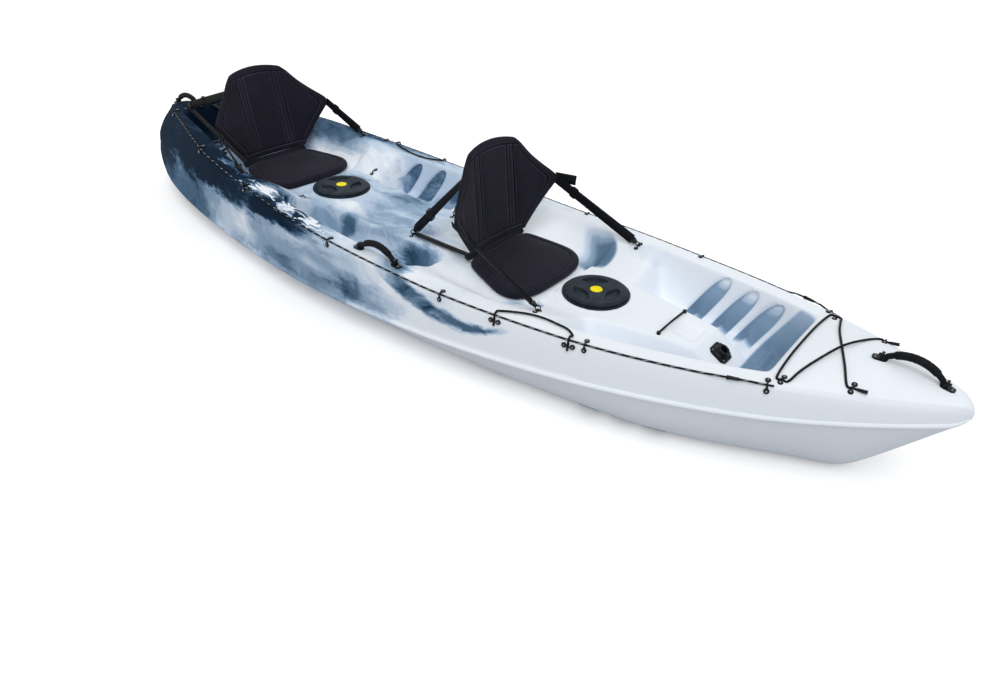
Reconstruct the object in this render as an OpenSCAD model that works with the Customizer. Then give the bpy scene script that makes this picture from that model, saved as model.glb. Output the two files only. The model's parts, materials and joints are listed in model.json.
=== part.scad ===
// Tandem sit-on-top kayak. X runs to the bow, Y to port, Z up, and the keel rests on Z = 0.

/* [Hull] */
// Overall length of the hull
hull_len = 3714; // [3600:2:3800]
// Half breadth at the gunwale crease
gunwale_half = 436; // [415:1:445]
// How far the chine stands out past the gunwale crease
chine_out = 14; // [8:1:20]
// Thickness of the moulded wall
wall = 5; // [4:0.5:6]
// Width of the side rail inside the crease
rail_w = 62; // [54:1:70]
// Half width of the flat keel band
keel_half = 175; // [140:5:190]

/* [Cockpit] */
// Height of the front footwell floor
front_well_z = 140; // [130:1:150]
// Height of the rear footwell floor
rear_well_z = 165; // [155:1:175]
// Height of the heel steps in the front footwells
heel_step = 20; // [10:1:26]
// Spacing of the heel steps
heel_pitch = 100; // [90:1:110]
// Depth of the oval dish between the paddlers
dish_depth = 42; // [25:1:50]
// Half length of the oval dish
dish_half_len = 190; // [170:5:195]
// Half width of the oval dish
dish_half_w = 175; // [150:5:185]
// Radius of a scupper hole
scupper_r = 17; // [14:0.5:19]

/* [Hatches] */
// Front hatch centre
front_hatch_x = 680; // [670:1:690]
// Rear hatch centre
rear_hatch_x = -590; // [-600:1:-580]
// Radius of the hole in the deck
hatch_hole_r = 98; // [90:1:102]
// Radius of the hatch ring's flange
hatch_ring_r = 117; // [112:1:122]
// Thickness of the hatch ring's flange
hatch_flange_t = 6; // [4:0.5:8]
// Radius of the screw-in lid
hatch_lid_r = 110; // [106:0.5:111]
// Thickness of the lid's top plate
hatch_lid_t = 9; // [7:0.5:12]
// Radius of the plain disc in the middle of the lid
hatch_cap_r = 21; // [16:0.5:24]

/* [Seats] */
// Fold line of the front seat
front_hinge_x = 232; // [225:1:240]
// Fold line of the rear seat
rear_hinge_x = -1018; // [-1026:1:-1010]
// Length of the seat pad
pad_len = 270; // [255:1:275]
// Half width of the seat pad
pad_half = 198; // [180:1:205]
// Thickness of the seat pad at its crown
pad_t = 36; // [28:1:42]
// Height of the back rest above its fold line
back_h = 384; // [350:1:400]
// Half width of the back rest across its wings
wing_half = 285; // [265:1:295]
// How far the wings curve forward
wing_fwd = 78; // [50:1:90]
// Thickness of the back rest
back_t = 26; // [20:1:32]
// Recline of the front back rest, in degrees
front_recline = 6; // [2:1:12]
// Recline of the rear back rest, in degrees
rear_recline = 14; // [8:1:18]
// Width of the seat webbing
strap_w = 36; // [25:1:40]
// Thickness of the seat webbing
strap_t = 3; // [2:0.5:4]

/* [Fittings] */
// Radius of a pad eye's screw lobe
lobe_r = 8; // [7:0.5:9]
// Thickness of a pad eye's screw lobe
lobe_t = 4; // [3:0.5:5]
// Distance between the screws of a flat pad eye
eye_span = 28; // [27:0.5:30]
// Diameter of the deck line
line_d = 5; // [4:0.5:5]
// Diameter of the bungee cords
bungee_d = 6; // [5:0.5:7]
// Side of the square accessory plate
plate_w = 62; // [56:1:68]
// Thickness of the accessory plate
plate_t = 6; // [5:0.5:8]
// Radius of the accessory socket
socket_r = 12.7; // [10:0.1:14]
// Depth of the accessory socket
socket_depth = 18; // [14:0.5:19]

/* [Handles] */
// Distance between the handle pivots
handle_span = 150; // [140:1:160]
// Rise of the grip's arch above its pivots
handle_rise = 30; // [26:1:36]
// Radius of the grip
grip_r = 12; // [10:0.5:13]
// Radius of a handle pivot pin
pivot_r = 4; // [3:0.5:4.5]
// Height of the pivots above the deck
pivot_h = 15; // [14:0.5:18]

/* [Hidden] */
$fn = 48;
half_len = hull_len / 2;
chine_half = gunwale_half + chine_out;
mid_x = 25;
nominal_half = half_len + 18;
gap = 0.3;

// Curve helpers

function ease(t) = let (u = max(0, min(1, t))) u * u * (3 - 2 * u);
function rise(v, a, b) = ease((v - a) / (b - a));
function between(v, a, b, soft) = rise(v, a - soft, a) * (1 - rise(v, b, b + soft));
function mix(a, b, t) = a + (b - a) * t;
function smooth(x, rows, d) = (lookup(x - d, rows) + 2 * lookup(x, rows) + lookup(x + d, rows)) / 4;
function steps(a, b, n) = [for (i = [0 : n - 1]) a + (b - a) * i / n];

// Lines of the hull: gunwale, chine and keel

gunwale_rows = [[-1875, 362], [-1600, 386], [-1250, 398], [-800, 354], [-300, 313],
    [300, 294], [900, 305], [1400, 334], [1875, 352]];
chine_rows = [[-1875, 195], [-1600, 92], [-1250, 80], [-800, 78], [-300, 84],
    [300, 118], [900, 170], [1400, 222], [1875, 296]];
bow_round = 45;
stern_round = 110;
stern_flare = 16;
stern_tuck = 0.62;
tuck_from = 1000;
stern_rake = 66;
rake_from = 1500;
rake_z = 230;
rake_rise = 120;
function end_in(x) = x > 0
    ? max(0, x - half_len + bow_round) / bow_round
    : max(0, -x - half_len + stern_round) / stern_round;
function blunt(x) = sqrt(max(0.02, 1 - pow(end_in(x), 2)));
function plan(x) = x > mid_x
    ? pow(1 - pow((x - mid_x) / (nominal_half - mid_x), 2.55), 0.88)
    : pow(1 - pow((mid_x - x) / (nominal_half + mid_x), 1.8), 0.68);
function tip(x) = x > 0 ? blunt(x) : mix(blunt(x), 1, 0.6);
function tuck(x) = 1 - stern_tuck * pow(max(0, -x - tuck_from) / (half_len - tuck_from), 1.6);
function gunwale_y(x) = gunwale_half * plan(x) * tip(x) * tuck(x);
function chine_y(x) = (chine_half * plan(x) + stern_flare * rise(-x, 900, 1700)) * tip(x);
function end_z(x) = mix(smooth(x, chine_rows, 90), smooth(x, gunwale_rows, 90), 0.45);
function gunwale_z(x) = mix(end_z(x), smooth(x, gunwale_rows, 90), blunt(x));
function chine_z(x) = mix(end_z(x), smooth(x, chine_rows, 90), blunt(x));
function stem(u, bend, slope) = slope * (u + sqrt(u * u + bend * bend));
function keel_z(x) = let (s = x > 0 ? stem(x - 1600, 40, 0.6) - 6 : stem(-x - 1680, 60, 0.5) - 6)
    min(chine_z(x) - 6 * blunt(x), max(0, s));
function flat_part(x) = keel_half / chine_half * (1 - rise(abs(x), 1000, 1650));
function bilge_pow(x) = x > 0 ? mix(4, 1.9, rise(x, 1000, 1700)) : mix(4, 2.6, rise(-x, 1100, 1750));
function bottom_z(x, s) = let (f = flat_part(x), u = max(0, s - f) / (1 - f))
    keel_z(x) + (chine_z(x) - keel_z(x)) * pow(u, bilge_pow(x));

// Deck: a crowned end deck, a cockpit sunk inside the rails, and the wells sunk in that

cockpit_fore = 1325;
cockpit_aft = -1500;
cockpit_soft = 45;
front_well_aft = 800;
front_well_fore = 1255;
rear_well_aft = -500;
rear_well_fore = 95;
well_soft = 70;
dish_x = -282;
crown_rows = [[-1857, 0], [-1750, 8], [-1640, 8], [-1545, 0], [1300, 0], [1370, 10],
    [1450, 24], [1600, 40], [1780, 18], [1857, 0]];
floor_rows = [[-1500, 272], [-1200, 266], [-1130, 272], [-1075, 270], [-1030, 262], [-740, 246],
    [-715, 257], [-450, 257], [-120, 250], [130, 262], [205, 256], [535, 201], [560, 236],
    [800, 236], [1000, 238], [1095, 232], [1235, 150], [1325, 150]];
wall_rows = [[-1600, 60], [-1180, 60], [-1120, 80], [-760, 80], [-700, 190], [-480, 190], [-420, 75],
    [90, 75], [160, 120], [500, 120], [570, 200], [780, 200], [860, 60], [1400, 50]];
ridge_rows = [[-1600, 120], [-560, 200], [120, 200], [545, 225], [620, 190], [800, 152], [1000, 112],
    [1230, 84], [1360, 70]];
function rail_in(x) = gunwale_y(x) - min(rail_w, 0.22 * gunwale_y(x));
function wall_in(x) = rail_in(x) - min(lookup(x, wall_rows), 0.55 * gunwale_y(x));
function ridge_y(x) = min(lookup(x, ridge_rows), 0.4 * gunwale_y(x));
ridge_soft = 20;
function heel_steps(x) = let (c = abs(cos((x - front_well_fore + heel_pitch / 2) * 180 / heel_pitch)))
    heel_step * pow(1 - c, 2)
    * between(x, front_well_fore - 3.2 * heel_pitch, front_well_fore, heel_pitch / 4);
function in_well(x, y, aft, fore) = between(x, aft, fore, well_soft)
    * rise(abs(y), ridge_y(x) - ridge_soft, ridge_y(x) + ridge_soft)
    * (1 - rise(abs(y), rail_in(x) - 50, rail_in(x)));
function in_cockpit(x, y) = between(x, cockpit_aft, cockpit_fore, cockpit_soft)
    * (1 - rise(abs(y), wall_in(x), rail_in(x)));
function in_dish(x, y) = 1 - rise(norm([(x - dish_x) / dish_half_len, y / dish_half_w]), 0.3, 1);
function deck_z(x, y) =
    let (arch = lookup(x, crown_rows) * (1 - pow(min(1, y / gunwale_y(x)), 2)))
    let (sunk = mix(gunwale_z(x) + arch, lookup(x, floor_rows), in_cockpit(x, y)))
    let (front = mix(sunk, front_well_z + heel_steps(x), in_well(x, y, front_well_aft, front_well_fore)))
    let (rear = mix(front, rear_well_z, in_well(x, y, rear_well_aft, rear_well_fore)))
    rear - dish_depth * in_dish(x, y);

// The moulded shell: an outer loft less an inner loft that keeps the wall everywhere

crease_in = 8;
crease_drop = 10;
side_bulge = 2;
stern_bulge = 16;
bottom_cols = [0, 0.31, 0.48, 0.66, 0.84];
inner_cols = [0, 0.31, 0.6];
function deck_cols(x) =
    let (g = gunwale_y(x), e = rail_in(x), r = ridge_y(x), s = min(ridge_soft, 0.06 * g))
    let (w = min(50, 0.15 * g), q = min(crease_in, 0.1 * g))
    [g - q, mix(g, e, 0.55), e, e - w / 3, e - 2 * w / 3, e - w,
     mix(e - w, r + s, 0.3), mix(e - w, r + s, 0.65), r + s, r, r - s, 0.6 * r, 0.3 * r, 0];
function bulge_at(x) = (side_bulge + stern_bulge * rise(-x, 1000, 1600)) * blunt(x);
function half_ring(x) = let (g = gunwale_y(x), c = chine_y(x), k = blunt(x)) concat(
    [for (s = bottom_cols) [s * c, bottom_z(x, s)]],
    [[c, chine_z(x)]],
    [for (t = [1 / 3, 2 / 3]) [mix(c, g, t) + bulge_at(x), mix(chine_z(x), gunwale_z(x), t)]],
    [[g, gunwale_z(x) - crease_drop * k]],
    [for (y = deck_cols(x)) [y, deck_z(x, y)]]);
function raked(x, z) = x + stern_rake * pow(max(0, -x - rake_from) / (half_len - rake_from), 2)
    * max(0, z - rake_z) / rake_rise;
function both_sides(x, half) = concat([for (p = half) [raked(x, p[1]), p[0], p[1]]],
    [for (i = [len(half) - 2 : -1 : 1]) [raked(x, half[i][1]), -half[i][0], half[i][1]]]);

end_len = 57;
stations = concat(steps(-half_len, end_len - half_len, 3), steps(end_len - half_len, -1545, 3),
    steps(-1545, -1500, 2), steps(-1500, -1200, 3), steps(-1200, -1075, 3), [-1075, -1030, -880],
    [-740, -715, -570], steps(-550, -470, 2), steps(-470, -90, 7), steps(-90, 95, 2), steps(95, 165, 3),
    [165, 205, 375, 535],
    [560, 650], steps(730, 800, 3), steps(800, 930, 2), steps(930, 1255, 13), steps(1255, 1370, 5),
    steps(1370, half_len - end_len, 5), steps(half_len - end_len, half_len - 2, 3),
    [half_len - 2, half_len]);
inner_end = half_len - 137;
look = 1.3 * wall;
function roof_z(x, y) =
    min([for (i = [-1 : 1]) for (j = [-1 : 1]) deck_z(x + i * look, y + j * look)]) - look;
function inner_half(x) = let (g = gunwale_y(x) - look, c = chine_y(x) - look, k = g / gunwale_y(x)) concat(
    [for (s = inner_cols) [s * c, bottom_z(x, s) + look]],
    [[c, chine_z(x) + look],
     [g, gunwale_z(x) - crease_drop - look]],
    [for (y = deck_cols(x)) let (low = bottom_z(x, min(1, k * y / chine_y(x))) + look + 2)
        [k * y, max(low, roof_z(x, k * y))]]);

module loft(rings) {
    n = len(rings[0]);
    m = len(rings);
    skin = [for (i = [0 : m - 2]) for (j = [0 : n - 1]) let (a = i * n + j, b = i * n + (j + 1) % n)
        each [[a, a + n, b], [b, a + n, b + n]]];
    first = [for (j = [1 : n - 2]) [0, j, j + 1]];
    last = [for (j = [1 : n - 2]) [(m - 1) * n, (m - 1) * n + j + 1, (m - 1) * n + j]];
    polyhedron(points = [for (r = rings) each r], faces = concat(skin, first, last));
}
scuppers = [[1010, 190], [-210, 270], [-1330, 70]];
module at_scuppers() {
    for (p = scuppers) for (side = [-1, 1]) translate([p[0], side * p[1], -10]) children();
}
// Places on the boat: frames on the deck and along the gunwale

function unit(v) = v / norm(v);
function along(a, b, s) = a + s * unit(b - a);
function mirrored(p, side) = [p[0], side * p[1], p[2]];
function deck_pt(x, y) = let (z = deck_z(x, y)) [raked(x, z), y, z];
probe = 12;
function deck_up(x, y) = unit(cross(deck_pt(x + probe, y) - deck_pt(x - probe, y),
    deck_pt(x, y + probe) - deck_pt(x, y - probe)));
function seat_pt(x, y, sink) = deck_pt(x, y) - sink * deck_up(x, y);
function rail_pt(x, side) = [raked(x, gunwale_z(x)), side * gunwale_y(x), gunwale_z(x)];

module frame_at(p, up, ahead) {
    z = unit(up);
    x = unit(ahead - z * (ahead * z));
    y = cross(z, x);
    multmatrix([[x[0], y[0], z[0], p[0]], [x[1], y[1], z[1], p[1]], [x[2], y[2], z[2], p[2]]]) children();
}
module at_rail(x, side) {
    t = unit(rail_pt(x + 20, side) - rail_pt(x - 20, side));
    out = unit(cross([0, 0, side], t));
    frame_at(rail_pt(x, side), side * cross(t, out), side * t) children();
}

// Round cords swept along hand-chosen points

function curve_pt(p, i, t) =
    let (n = len(p) - 1, a = p[max(0, i - 1)], b = p[i], c = p[i + 1], d = p[min(n, i + 2)])
    0.5 * (2 * b + (c - a) * t + (2 * a - 5 * b + 4 * c - d) * t * t + (3 * b - a - 3 * c + d) * t * t * t);
function curve(p, n) = concat(
    [for (i = [0 : len(p) - 2]) for (k = [0 : n - 1]) curve_pt(p, i, k / n)], [p[len(p) - 1]]);
function tube_ring(q, i, r, up) = let (t = unit(q[min(len(q) - 1, i + 1)] - q[max(0, i - 1)]))
    let (a = unit(cross(t, up)), b = cross(t, a))
    [for (k = [0 : 7]) q[i] + r * (cos(45 * k) * a + sin(45 * k) * b)];
module cord(q, d, up = [0, 0, 1]) {
    loft([for (i = [0 : len(q) - 1]) tube_ring(q, i, d / 2, up)]);
}

// Hatches: a ring in the deck, a seal in its groove, a screw-in lid and a plain disc

neck_r = hatch_hole_r - 8;
neck_down = 26;
seal_r = 101;
seal_tube = 2;
lid_lift = 1.9;
skirt_down = 13;
lid_bevel = 3;
finger_at = 60;
finger_r = 44;
finger_in = 22;
finger_floor = 3.5;
cap_sink = 1.5;
cap_t = 2;
module at_hatch(x) {
    translate([x, 0, deck_z(x, 0) + gap]) children();
}
module ring_of(x) {
    color("black")
    at_hatch(x) difference() {
        union() {
            cylinder(r = hatch_ring_r, h = hatch_flange_t, $fn = 96);
            translate([0, 0, -neck_down]) cylinder(r = hatch_hole_r - gap, h = neck_down + 1, $fn = 96);
        }
        translate([0, 0, -neck_down - 1])
            cylinder(r = neck_r, h = neck_down + hatch_flange_t + 2, $fn = 96);
        translate([0, 0, hatch_flange_t - seal_tube - gap]) difference() {
            cylinder(r = seal_r + seal_tube + gap, h = 10, $fn = 96);
            translate([0, 0, -1]) cylinder(r = seal_r - seal_tube - gap, h = 12, $fn = 96);
        }
    }
}
module seal_of(x) {
    color("dimgray")
    at_hatch(x) translate([0, 0, hatch_flange_t - gap / 2])
        rotate_extrude($fn = 96) translate([seal_r, 0]) circle(r = seal_tube, $fn = 32);
}
module lid_of(x) {
    color("darkslategray")
    at_hatch(x) translate([0, 0, hatch_flange_t + lid_lift]) difference() {
        union() {
            cylinder(r = hatch_lid_r, h = hatch_lid_t - lid_bevel, $fn = 96);
            translate([0, 0, hatch_lid_t - lid_bevel])
                cylinder(r1 = hatch_lid_r, r2 = hatch_lid_r - 5, h = lid_bevel, $fn = 96);
            translate([0, 0, -skirt_down]) cylinder(r = neck_r - 0.1, h = skirt_down + 1, $fn = 96);
        }
        translate([0, 0, -skirt_down - 1]) cylinder(r = neck_r - 6, h = skirt_down + 1, $fn = 96);
        for (turn = [60, 180, 300]) rotate([0, 0, turn])
            translate([finger_at, 0, finger_floor]) linear_extrude(hatch_lid_t)
            intersection() {
                translate([finger_in, 0]) circle(r = finger_r, $fn = 64);
                translate([-finger_in, 0]) circle(r = finger_r, $fn = 64);
            }
        translate([0, 0, hatch_lid_t - cap_sink]) cylinder(r = hatch_cap_r + gap, h = 5, $fn = 64);
    }
}
module cap_of(x) {
    color("yellow")
    at_hatch(x) translate([0, 0, hatch_flange_t + lid_lift + hatch_lid_t - cap_sink])
        cylinder(r = hatch_cap_r, h = cap_t, $fn = 64);
}
module front_hatch_ring() { ring_of(front_hatch_x); }
module front_hatch_seal() { seal_of(front_hatch_x); }
module front_hatch_lid() { lid_of(front_hatch_x); }
module front_hatch_cap() { cap_of(front_hatch_x); }
module rear_hatch_ring() { ring_of(rear_hatch_x); }
module rear_hatch_seal() { seal_of(rear_hatch_x); }
module rear_hatch_lid() { lid_of(rear_hatch_x); }
module rear_hatch_cap() { cap_of(rear_hatch_x); }

// Seats: a pad on the seat floor, a fold band along its rear edge and a winged back above that

fold_r = 14;
fold_h = 26;
fold_half = 158;
pad_aft = fold_r - 1.5;
pad_round = 3.2;
pad_turns = 32;
pad_rings = [[0.97, 0], [1, 0.36], [0.985, 0.7], [0.94, 0.9], [0.87, 0.95], [0.84, 0.84], [0.81, 0.95],
    [0.5, 1], [0.2, 0.99]];
function floor_z(x) = lookup(x, floor_rows);
function floor_tilt(x) = atan((floor_z(x) - floor_z(x + 200)) / 200);
pad_gap = 0.4;
function fold_axis(x) = let (a = floor_tilt(x))
    [x + fold_h * sin(a), 0, floor_z(x) + pad_gap + fold_h * cos(a)];
function bulge(v) = sign(v) * pow(abs(v), 2 / pad_round);
pad_taper = 0.84;
function pad_edge(a) = let (u = bulge(cos(a)))
    [mix(pad_aft, pad_len, (1 + u) / 2), pad_half * bulge(sin(a)) * mix(pad_taper, 1, rise(u, -1, 0.4))];
function pad_mid() = [(pad_aft + pad_len) / 2, 0];
module pad_of(x) {
    rings = [for (r = pad_rings) [for (k = [0 : pad_turns - 1])
        let (p = mix(pad_mid(), pad_edge(360 * k / pad_turns), r[0])) [p[0], p[1], r[1] * pad_t]]];
    color("#23212c")
    translate([x, 0, floor_z(x) + pad_gap]) rotate([0, floor_tilt(x), 0]) loft(rings);
}
module fold_of(x) {
    color("#2a2833")
    translate(fold_axis(x)) rotate([90, 0, 0]) cylinder(r = fold_r, h = 2 * fold_half, center = true);
}
back_rows = [[0, 150], [0.04, 163], [0.42, 282], [0.47, 285], [0.53, 278], [0.95, 148], [1, 126]];
back_levels = [0, 0.02, 0.06, 0.14, 0.24, 0.34, 0.43, 0.47, 0.53, 0.62, 0.72, 0.82, 0.91, 0.96, 0.985, 1];
back_foot = fold_r + 0.5;
seam_in = 74;
seam_band = 30;
seam_deep = 3;
edge_half = 3;
function wing_w(v) = lookup(v, back_rows) * wing_half / 285;
function back_cols(v) = let (w = wing_w(v), a = seam_in, b = seam_in + seam_band)
    [[0, 1], [a / 2, 1], [a - 6, 1], [a, 0], [a + 6, 1], [b - 6, 1], [b, 0],
     [b + 6, 1], [mix(b + 6, w - 8, 0.5), 1], [w - 8, 1], [w, 0]];
function rim(v) = min(1, min(v, 1 - v) * back_h / 26);
function puff(v, y) = let (e = min(rim(v), (wing_w(v) - abs(y)) / 30))
    edge_half + (back_t / 2 - edge_half) * pow(max(0, e), 0.5);
function bend(y) = wing_fwd * pow(abs(y) / wing_half, 2.2);
function seam_at(v, c) = c[1] == 0 && c[0] < wing_w(v) ? seam_deep * rim(v) : 0;
function back_pt(v, c, front) = let (y = c[0], h = puff(v, y) - seam_at(v, c))
    [bend(y) + front * h, y, back_foot + v * (back_h - back_foot)];
function back_ring(v) = let (c = back_cols(v), n = len(c) - 1) concat(
    [for (i = [n : -1 : 1]) mirrored(back_pt(v, c[i], 1), -1)], [for (i = [0 : n]) back_pt(v, c[i], 1)],
    [for (i = [n : -1 : 1]) back_pt(v, c[i], -1)], [for (i = [0 : n]) mirrored(back_pt(v, c[i], -1), -1)]);
module back_of(x, recline) {
    color("#23212c")
    translate(fold_axis(x)) rotate([0, -recline, 0]) loft([for (v = back_levels) back_ring(v)]);
}
module front_seat_pad() { pad_of(front_hinge_x); }
module front_seat_hinge() { fold_of(front_hinge_x); }
module front_seat_back() { back_of(front_hinge_x, front_recline); }
module rear_seat_pad() { pad_of(rear_hinge_x); }
module rear_seat_hinge() { fold_of(rear_hinge_x); }
module rear_seat_back() { back_of(rear_hinge_x, rear_recline); }

// Seat webbing: side straps from the wings, stays behind the back, lower straps to the fold band

sink = 2;
link_r = 9;
link_tube = 2;
link_h = 13.2;
hook_len = 30;
hook_w = 28;
hook_t = 8;
lower_w = 24;
front_side_eye = [657, 310];
front_stay_eye = [-65, 116];
rear_side_eye = [-800, 322];
rear_stay_eye = [-1572, 50];
function on_back(x, recline, p) = fold_axis(x)
    + [p[0] * cos(recline) - p[2] * sin(recline), p[1], p[0] * sin(recline) + p[2] * cos(recline)];
function wing_pt(x, recline, side) =
    on_back(x, recline, [wing_fwd - 12, side * (wing_half + strap_t / 2 + 0.5), 0.47 * back_h]);
function nape_pt(x, recline, side) = on_back(x, recline, [-back_t / 2 - 1.5, side * 50, 0.78 * back_h]);
lower_y = fold_half - 20;
function lower_yaw(x, e) = atan((lower_y - e[1]) / (x - e[0]));
function fold_pt(x, e, side) = fold_axis(x)
    + [-fold_r - 0.4 - lower_w / 2 * sin(lower_yaw(x, e)), side * lower_y, 0];
function eye_pt(e, side) = seat_pt(e[0], side * e[1], sink);
function link_pt(e, side) = eye_pt(e, side) + link_h * deck_up(e[0], side * e[1]);
module strap_frame(a, b, face) {
    d = unit(b - a);
    frame_at(a, face - d * (face * d), d) children();
}
module webbing(a, b, face, w) {
    strap_frame(a, b, face) translate([0, -w / 2, -strap_t / 2]) cube([norm(b - a), w, strap_t]);
}
module side_strap(x, recline, e, side) {
    a = wing_pt(x, recline, side);
    b = along(link_pt(e, side), a, hook_len + gap);
    color("#17181c") webbing(a, b, [0, side, 0], strap_w);
}
module stay(x, recline, e, side) {
    a = nape_pt(x, recline, side);
    b = along(link_pt(e, side), a, hook_len + gap);
    color("#17181c") webbing(a, b, [-1, 0, 0.6], strap_w);
}
module lower_straps(x, e) {
    color("#17181c")
    for (side = [-1, 1]) {
        a = fold_pt(x, e, side);
        webbing(a, along(link_pt(e, side), a, link_r + link_tube + 1.2), [0, 0, 1], lower_w);
    }
}
module hook(e, side, to) {
    up = deck_up(e[0], side * e[1]);
    c = link_pt(e, side);
    frame_at(c, up, cross(to - c, up)) rotate([0, 90, 0])
        rotate_extrude($fn = 32) translate([link_r, 0]) circle(r = link_tube, $fn = 16);
    strap_frame(c, to, up) translate([link_r - 1, -hook_w / 2, -hook_t / 2])
        cube([hook_len - link_r + 1, hook_w, hook_t]);
}
module hooks_of(x, recline, side_e, stay_e) {
    color("#111214")
    for (side = [-1, 1]) {
        hook(side_e, side, wing_pt(x, recline, side));
        hook(stay_e, side, nape_pt(x, recline, side));
    }
}
buckle_l = 30;
buckle_h = 9;
module buckle(a, b, face, t) {
    strap_frame(mix(a, b, t), b, face) difference() {
        translate([0, -strap_w / 2 - 5, -buckle_h / 2]) cube([buckle_l, strap_w + 10, buckle_h]);
        translate([-1, -strap_w / 2 - gap, -strap_t / 2 - gap])
            cube([buckle_l + 2, strap_w + 2 * gap, strap_t + 2 * gap]);
    }
}
module buckles_of(x, recline, side_e, stay_e) {
    color("#111214")
    for (side = [-1, 1]) {
        buckle(wing_pt(x, recline, side), link_pt(side_e, side), [0, side, 0], 0.2);
        buckle(nape_pt(x, recline, side), link_pt(stay_e, side), [-1, 0, 0.6], 0.68);
    }
}
module front_seat_strap_port() { side_strap(front_hinge_x, front_recline, front_side_eye, 1); }
module front_seat_strap_starboard() { side_strap(front_hinge_x, front_recline, front_side_eye, -1); }
module front_seat_stay_port() { stay(front_hinge_x, front_recline, front_stay_eye, 1); }
module front_seat_stay_starboard() { stay(front_hinge_x, front_recline, front_stay_eye, -1); }
module front_seat_lower_straps() { lower_straps(front_hinge_x, front_stay_eye); }
module front_seat_hooks() { hooks_of(front_hinge_x, front_recline, front_side_eye, front_stay_eye); }
module front_seat_buckles() { buckles_of(front_hinge_x, front_recline, front_side_eye, front_stay_eye); }
module rear_seat_strap_port() { side_strap(rear_hinge_x, rear_recline, rear_side_eye, 1); }
module rear_seat_strap_starboard() { side_strap(rear_hinge_x, rear_recline, rear_side_eye, -1); }
module rear_seat_stay_port() { stay(rear_hinge_x, rear_recline, rear_stay_eye, 1); }
module rear_seat_stay_starboard() { stay(rear_hinge_x, rear_recline, rear_stay_eye, -1); }
module rear_seat_lower_straps() { lower_straps(rear_hinge_x, rear_stay_eye); }
module rear_seat_hooks() { hooks_of(rear_hinge_x, rear_recline, rear_side_eye, rear_stay_eye); }
module rear_seat_buckles() { buckles_of(rear_hinge_x, rear_recline, rear_side_eye, rear_stay_eye); }

// Pad eyes: flat ones on the deck, and ones bent over the gunwale for the deck line

arch_r = 8.6;
arch_tube = 2.4;
screw_r = 2;
head_r = 3.2;
head_h = 2.2;
rail_eyes = [-1590, -1095, -705, -172, 360, 882, 1385];
bow_eyes = [1410, 1575];
spare_eye = [-602, 193];
paddle_port = [-640, -390];
paddle_starboard = [577, 832];
tank_eyes = [[-1400, 74], [-1250, 108]];
bow_eye_in = 30;
keeper_down = 21;
function bow_eye(i) = [bow_eyes[i], gunwale_y(bow_eyes[i]) - bow_eye_in];
module at_eye(e, side, to) {
    up = deck_up(e[0], side * e[1]);
    frame_at(eye_pt(e, side), up, cross(to, up)) children();
}
module flat_eye() {
    difference() {
        union() {
            for (s = [-1, 1]) translate([s * eye_span / 2, 0, 0]) cylinder(r = lobe_r, h = lobe_t);
            translate([0, 0, 1]) rotate([90, 0, 0])
                rotate_extrude(angle = 180) translate([arch_r, 0]) circle(r = arch_tube, $fn = 24);
        }
        for (s = [-1, 1]) translate([s * eye_span / 2, 0, -1]) cylinder(r = screw_r + gap, h = lobe_t + 20);
        translate([-arch_r * 2, -arch_r, -10]) cube([arch_r * 4, arch_r * 2, 10]);
    }
}
module flat_screws() {
    for (s = [-1, 1]) translate([s * eye_span / 2, 0, 0]) screw(lobe_t);
}
module screw(t) {
    cylinder(r = screw_r, h = t + 0.5);
    translate([0, 0, t + 0.1]) cylinder(r1 = head_r, r2 = head_r - 1, h = head_h);
}
module at_anchor(e, side, to) { at_eye(e, side, to - link_pt(e, side)) children(); }
module at_seat_eyes() {
    for (side = [-1, 1]) {
        at_anchor(front_side_eye, side, wing_pt(front_hinge_x, front_recline, side)) children();
        at_anchor(front_stay_eye, side, nape_pt(front_hinge_x, front_recline, side)) children();
        at_anchor(rear_side_eye, side, wing_pt(rear_hinge_x, rear_recline, side)) children();
        at_anchor(rear_stay_eye, side, nape_pt(rear_hinge_x, rear_recline, side)) children();
    }
}
module at_bow_eyes() {
    for (i = [0, 1]) for (side = [-1, 1]) at_eye(bow_eye(i), side, [1, 0, 0]) children();
}
module at_spare_eyes() {
    for (side = [-1, 1]) at_eye(spare_eye, side, [1, 0, 0]) children();
}
module at_keeper_eyes() {
    for (x = paddle_port) at_rail(x, 1) on_side(x, keeper_down) children();
    for (x = paddle_starboard) at_rail(x, -1) on_side(x, keeper_down) children();
}
module at_tank_eyes() {
    for (e = tank_eyes) for (side = [-1, 1]) at_eye(e, side, [1, 0, 0]) children();
}
top_lobe_in = 16;
side_lobe_down = 20;
line_in = 1.4;
line_down = 2.8;
bend_r = 6;
bend_tube = 2;
function side_lean(x) = atan(((chine_y(x) - gunwale_y(x)) / 3 + bulge_at(x))
    / ((gunwale_z(x) - chine_z(x)) / 3 - crease_drop));
function top_rise(x, in) = deck_z(x, gunwale_y(x) - in) - gunwale_z(x);
function top_lean(x) = atan((top_rise(x, top_lobe_in + lobe_r) - top_rise(x, lobe_r)) / top_lobe_in);
module on_top(x) {
    ends = (top_rise(x, lobe_r) + top_rise(x, 2 * top_lobe_in - lobe_r)) / 2;
    translate([0, -top_lobe_in, 2 * gap + max(top_rise(x, top_lobe_in), ends)])
        rotate([-top_lean(x), 0, 0]) children();
}
module on_side(x, down = side_lobe_down) {
    translate([0, gap, -crease_drop]) rotate([side_lean(x), 0, 0])
        translate([0, gap, crease_drop - down]) rotate([-90, 0, 0]) children();
}
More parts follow.
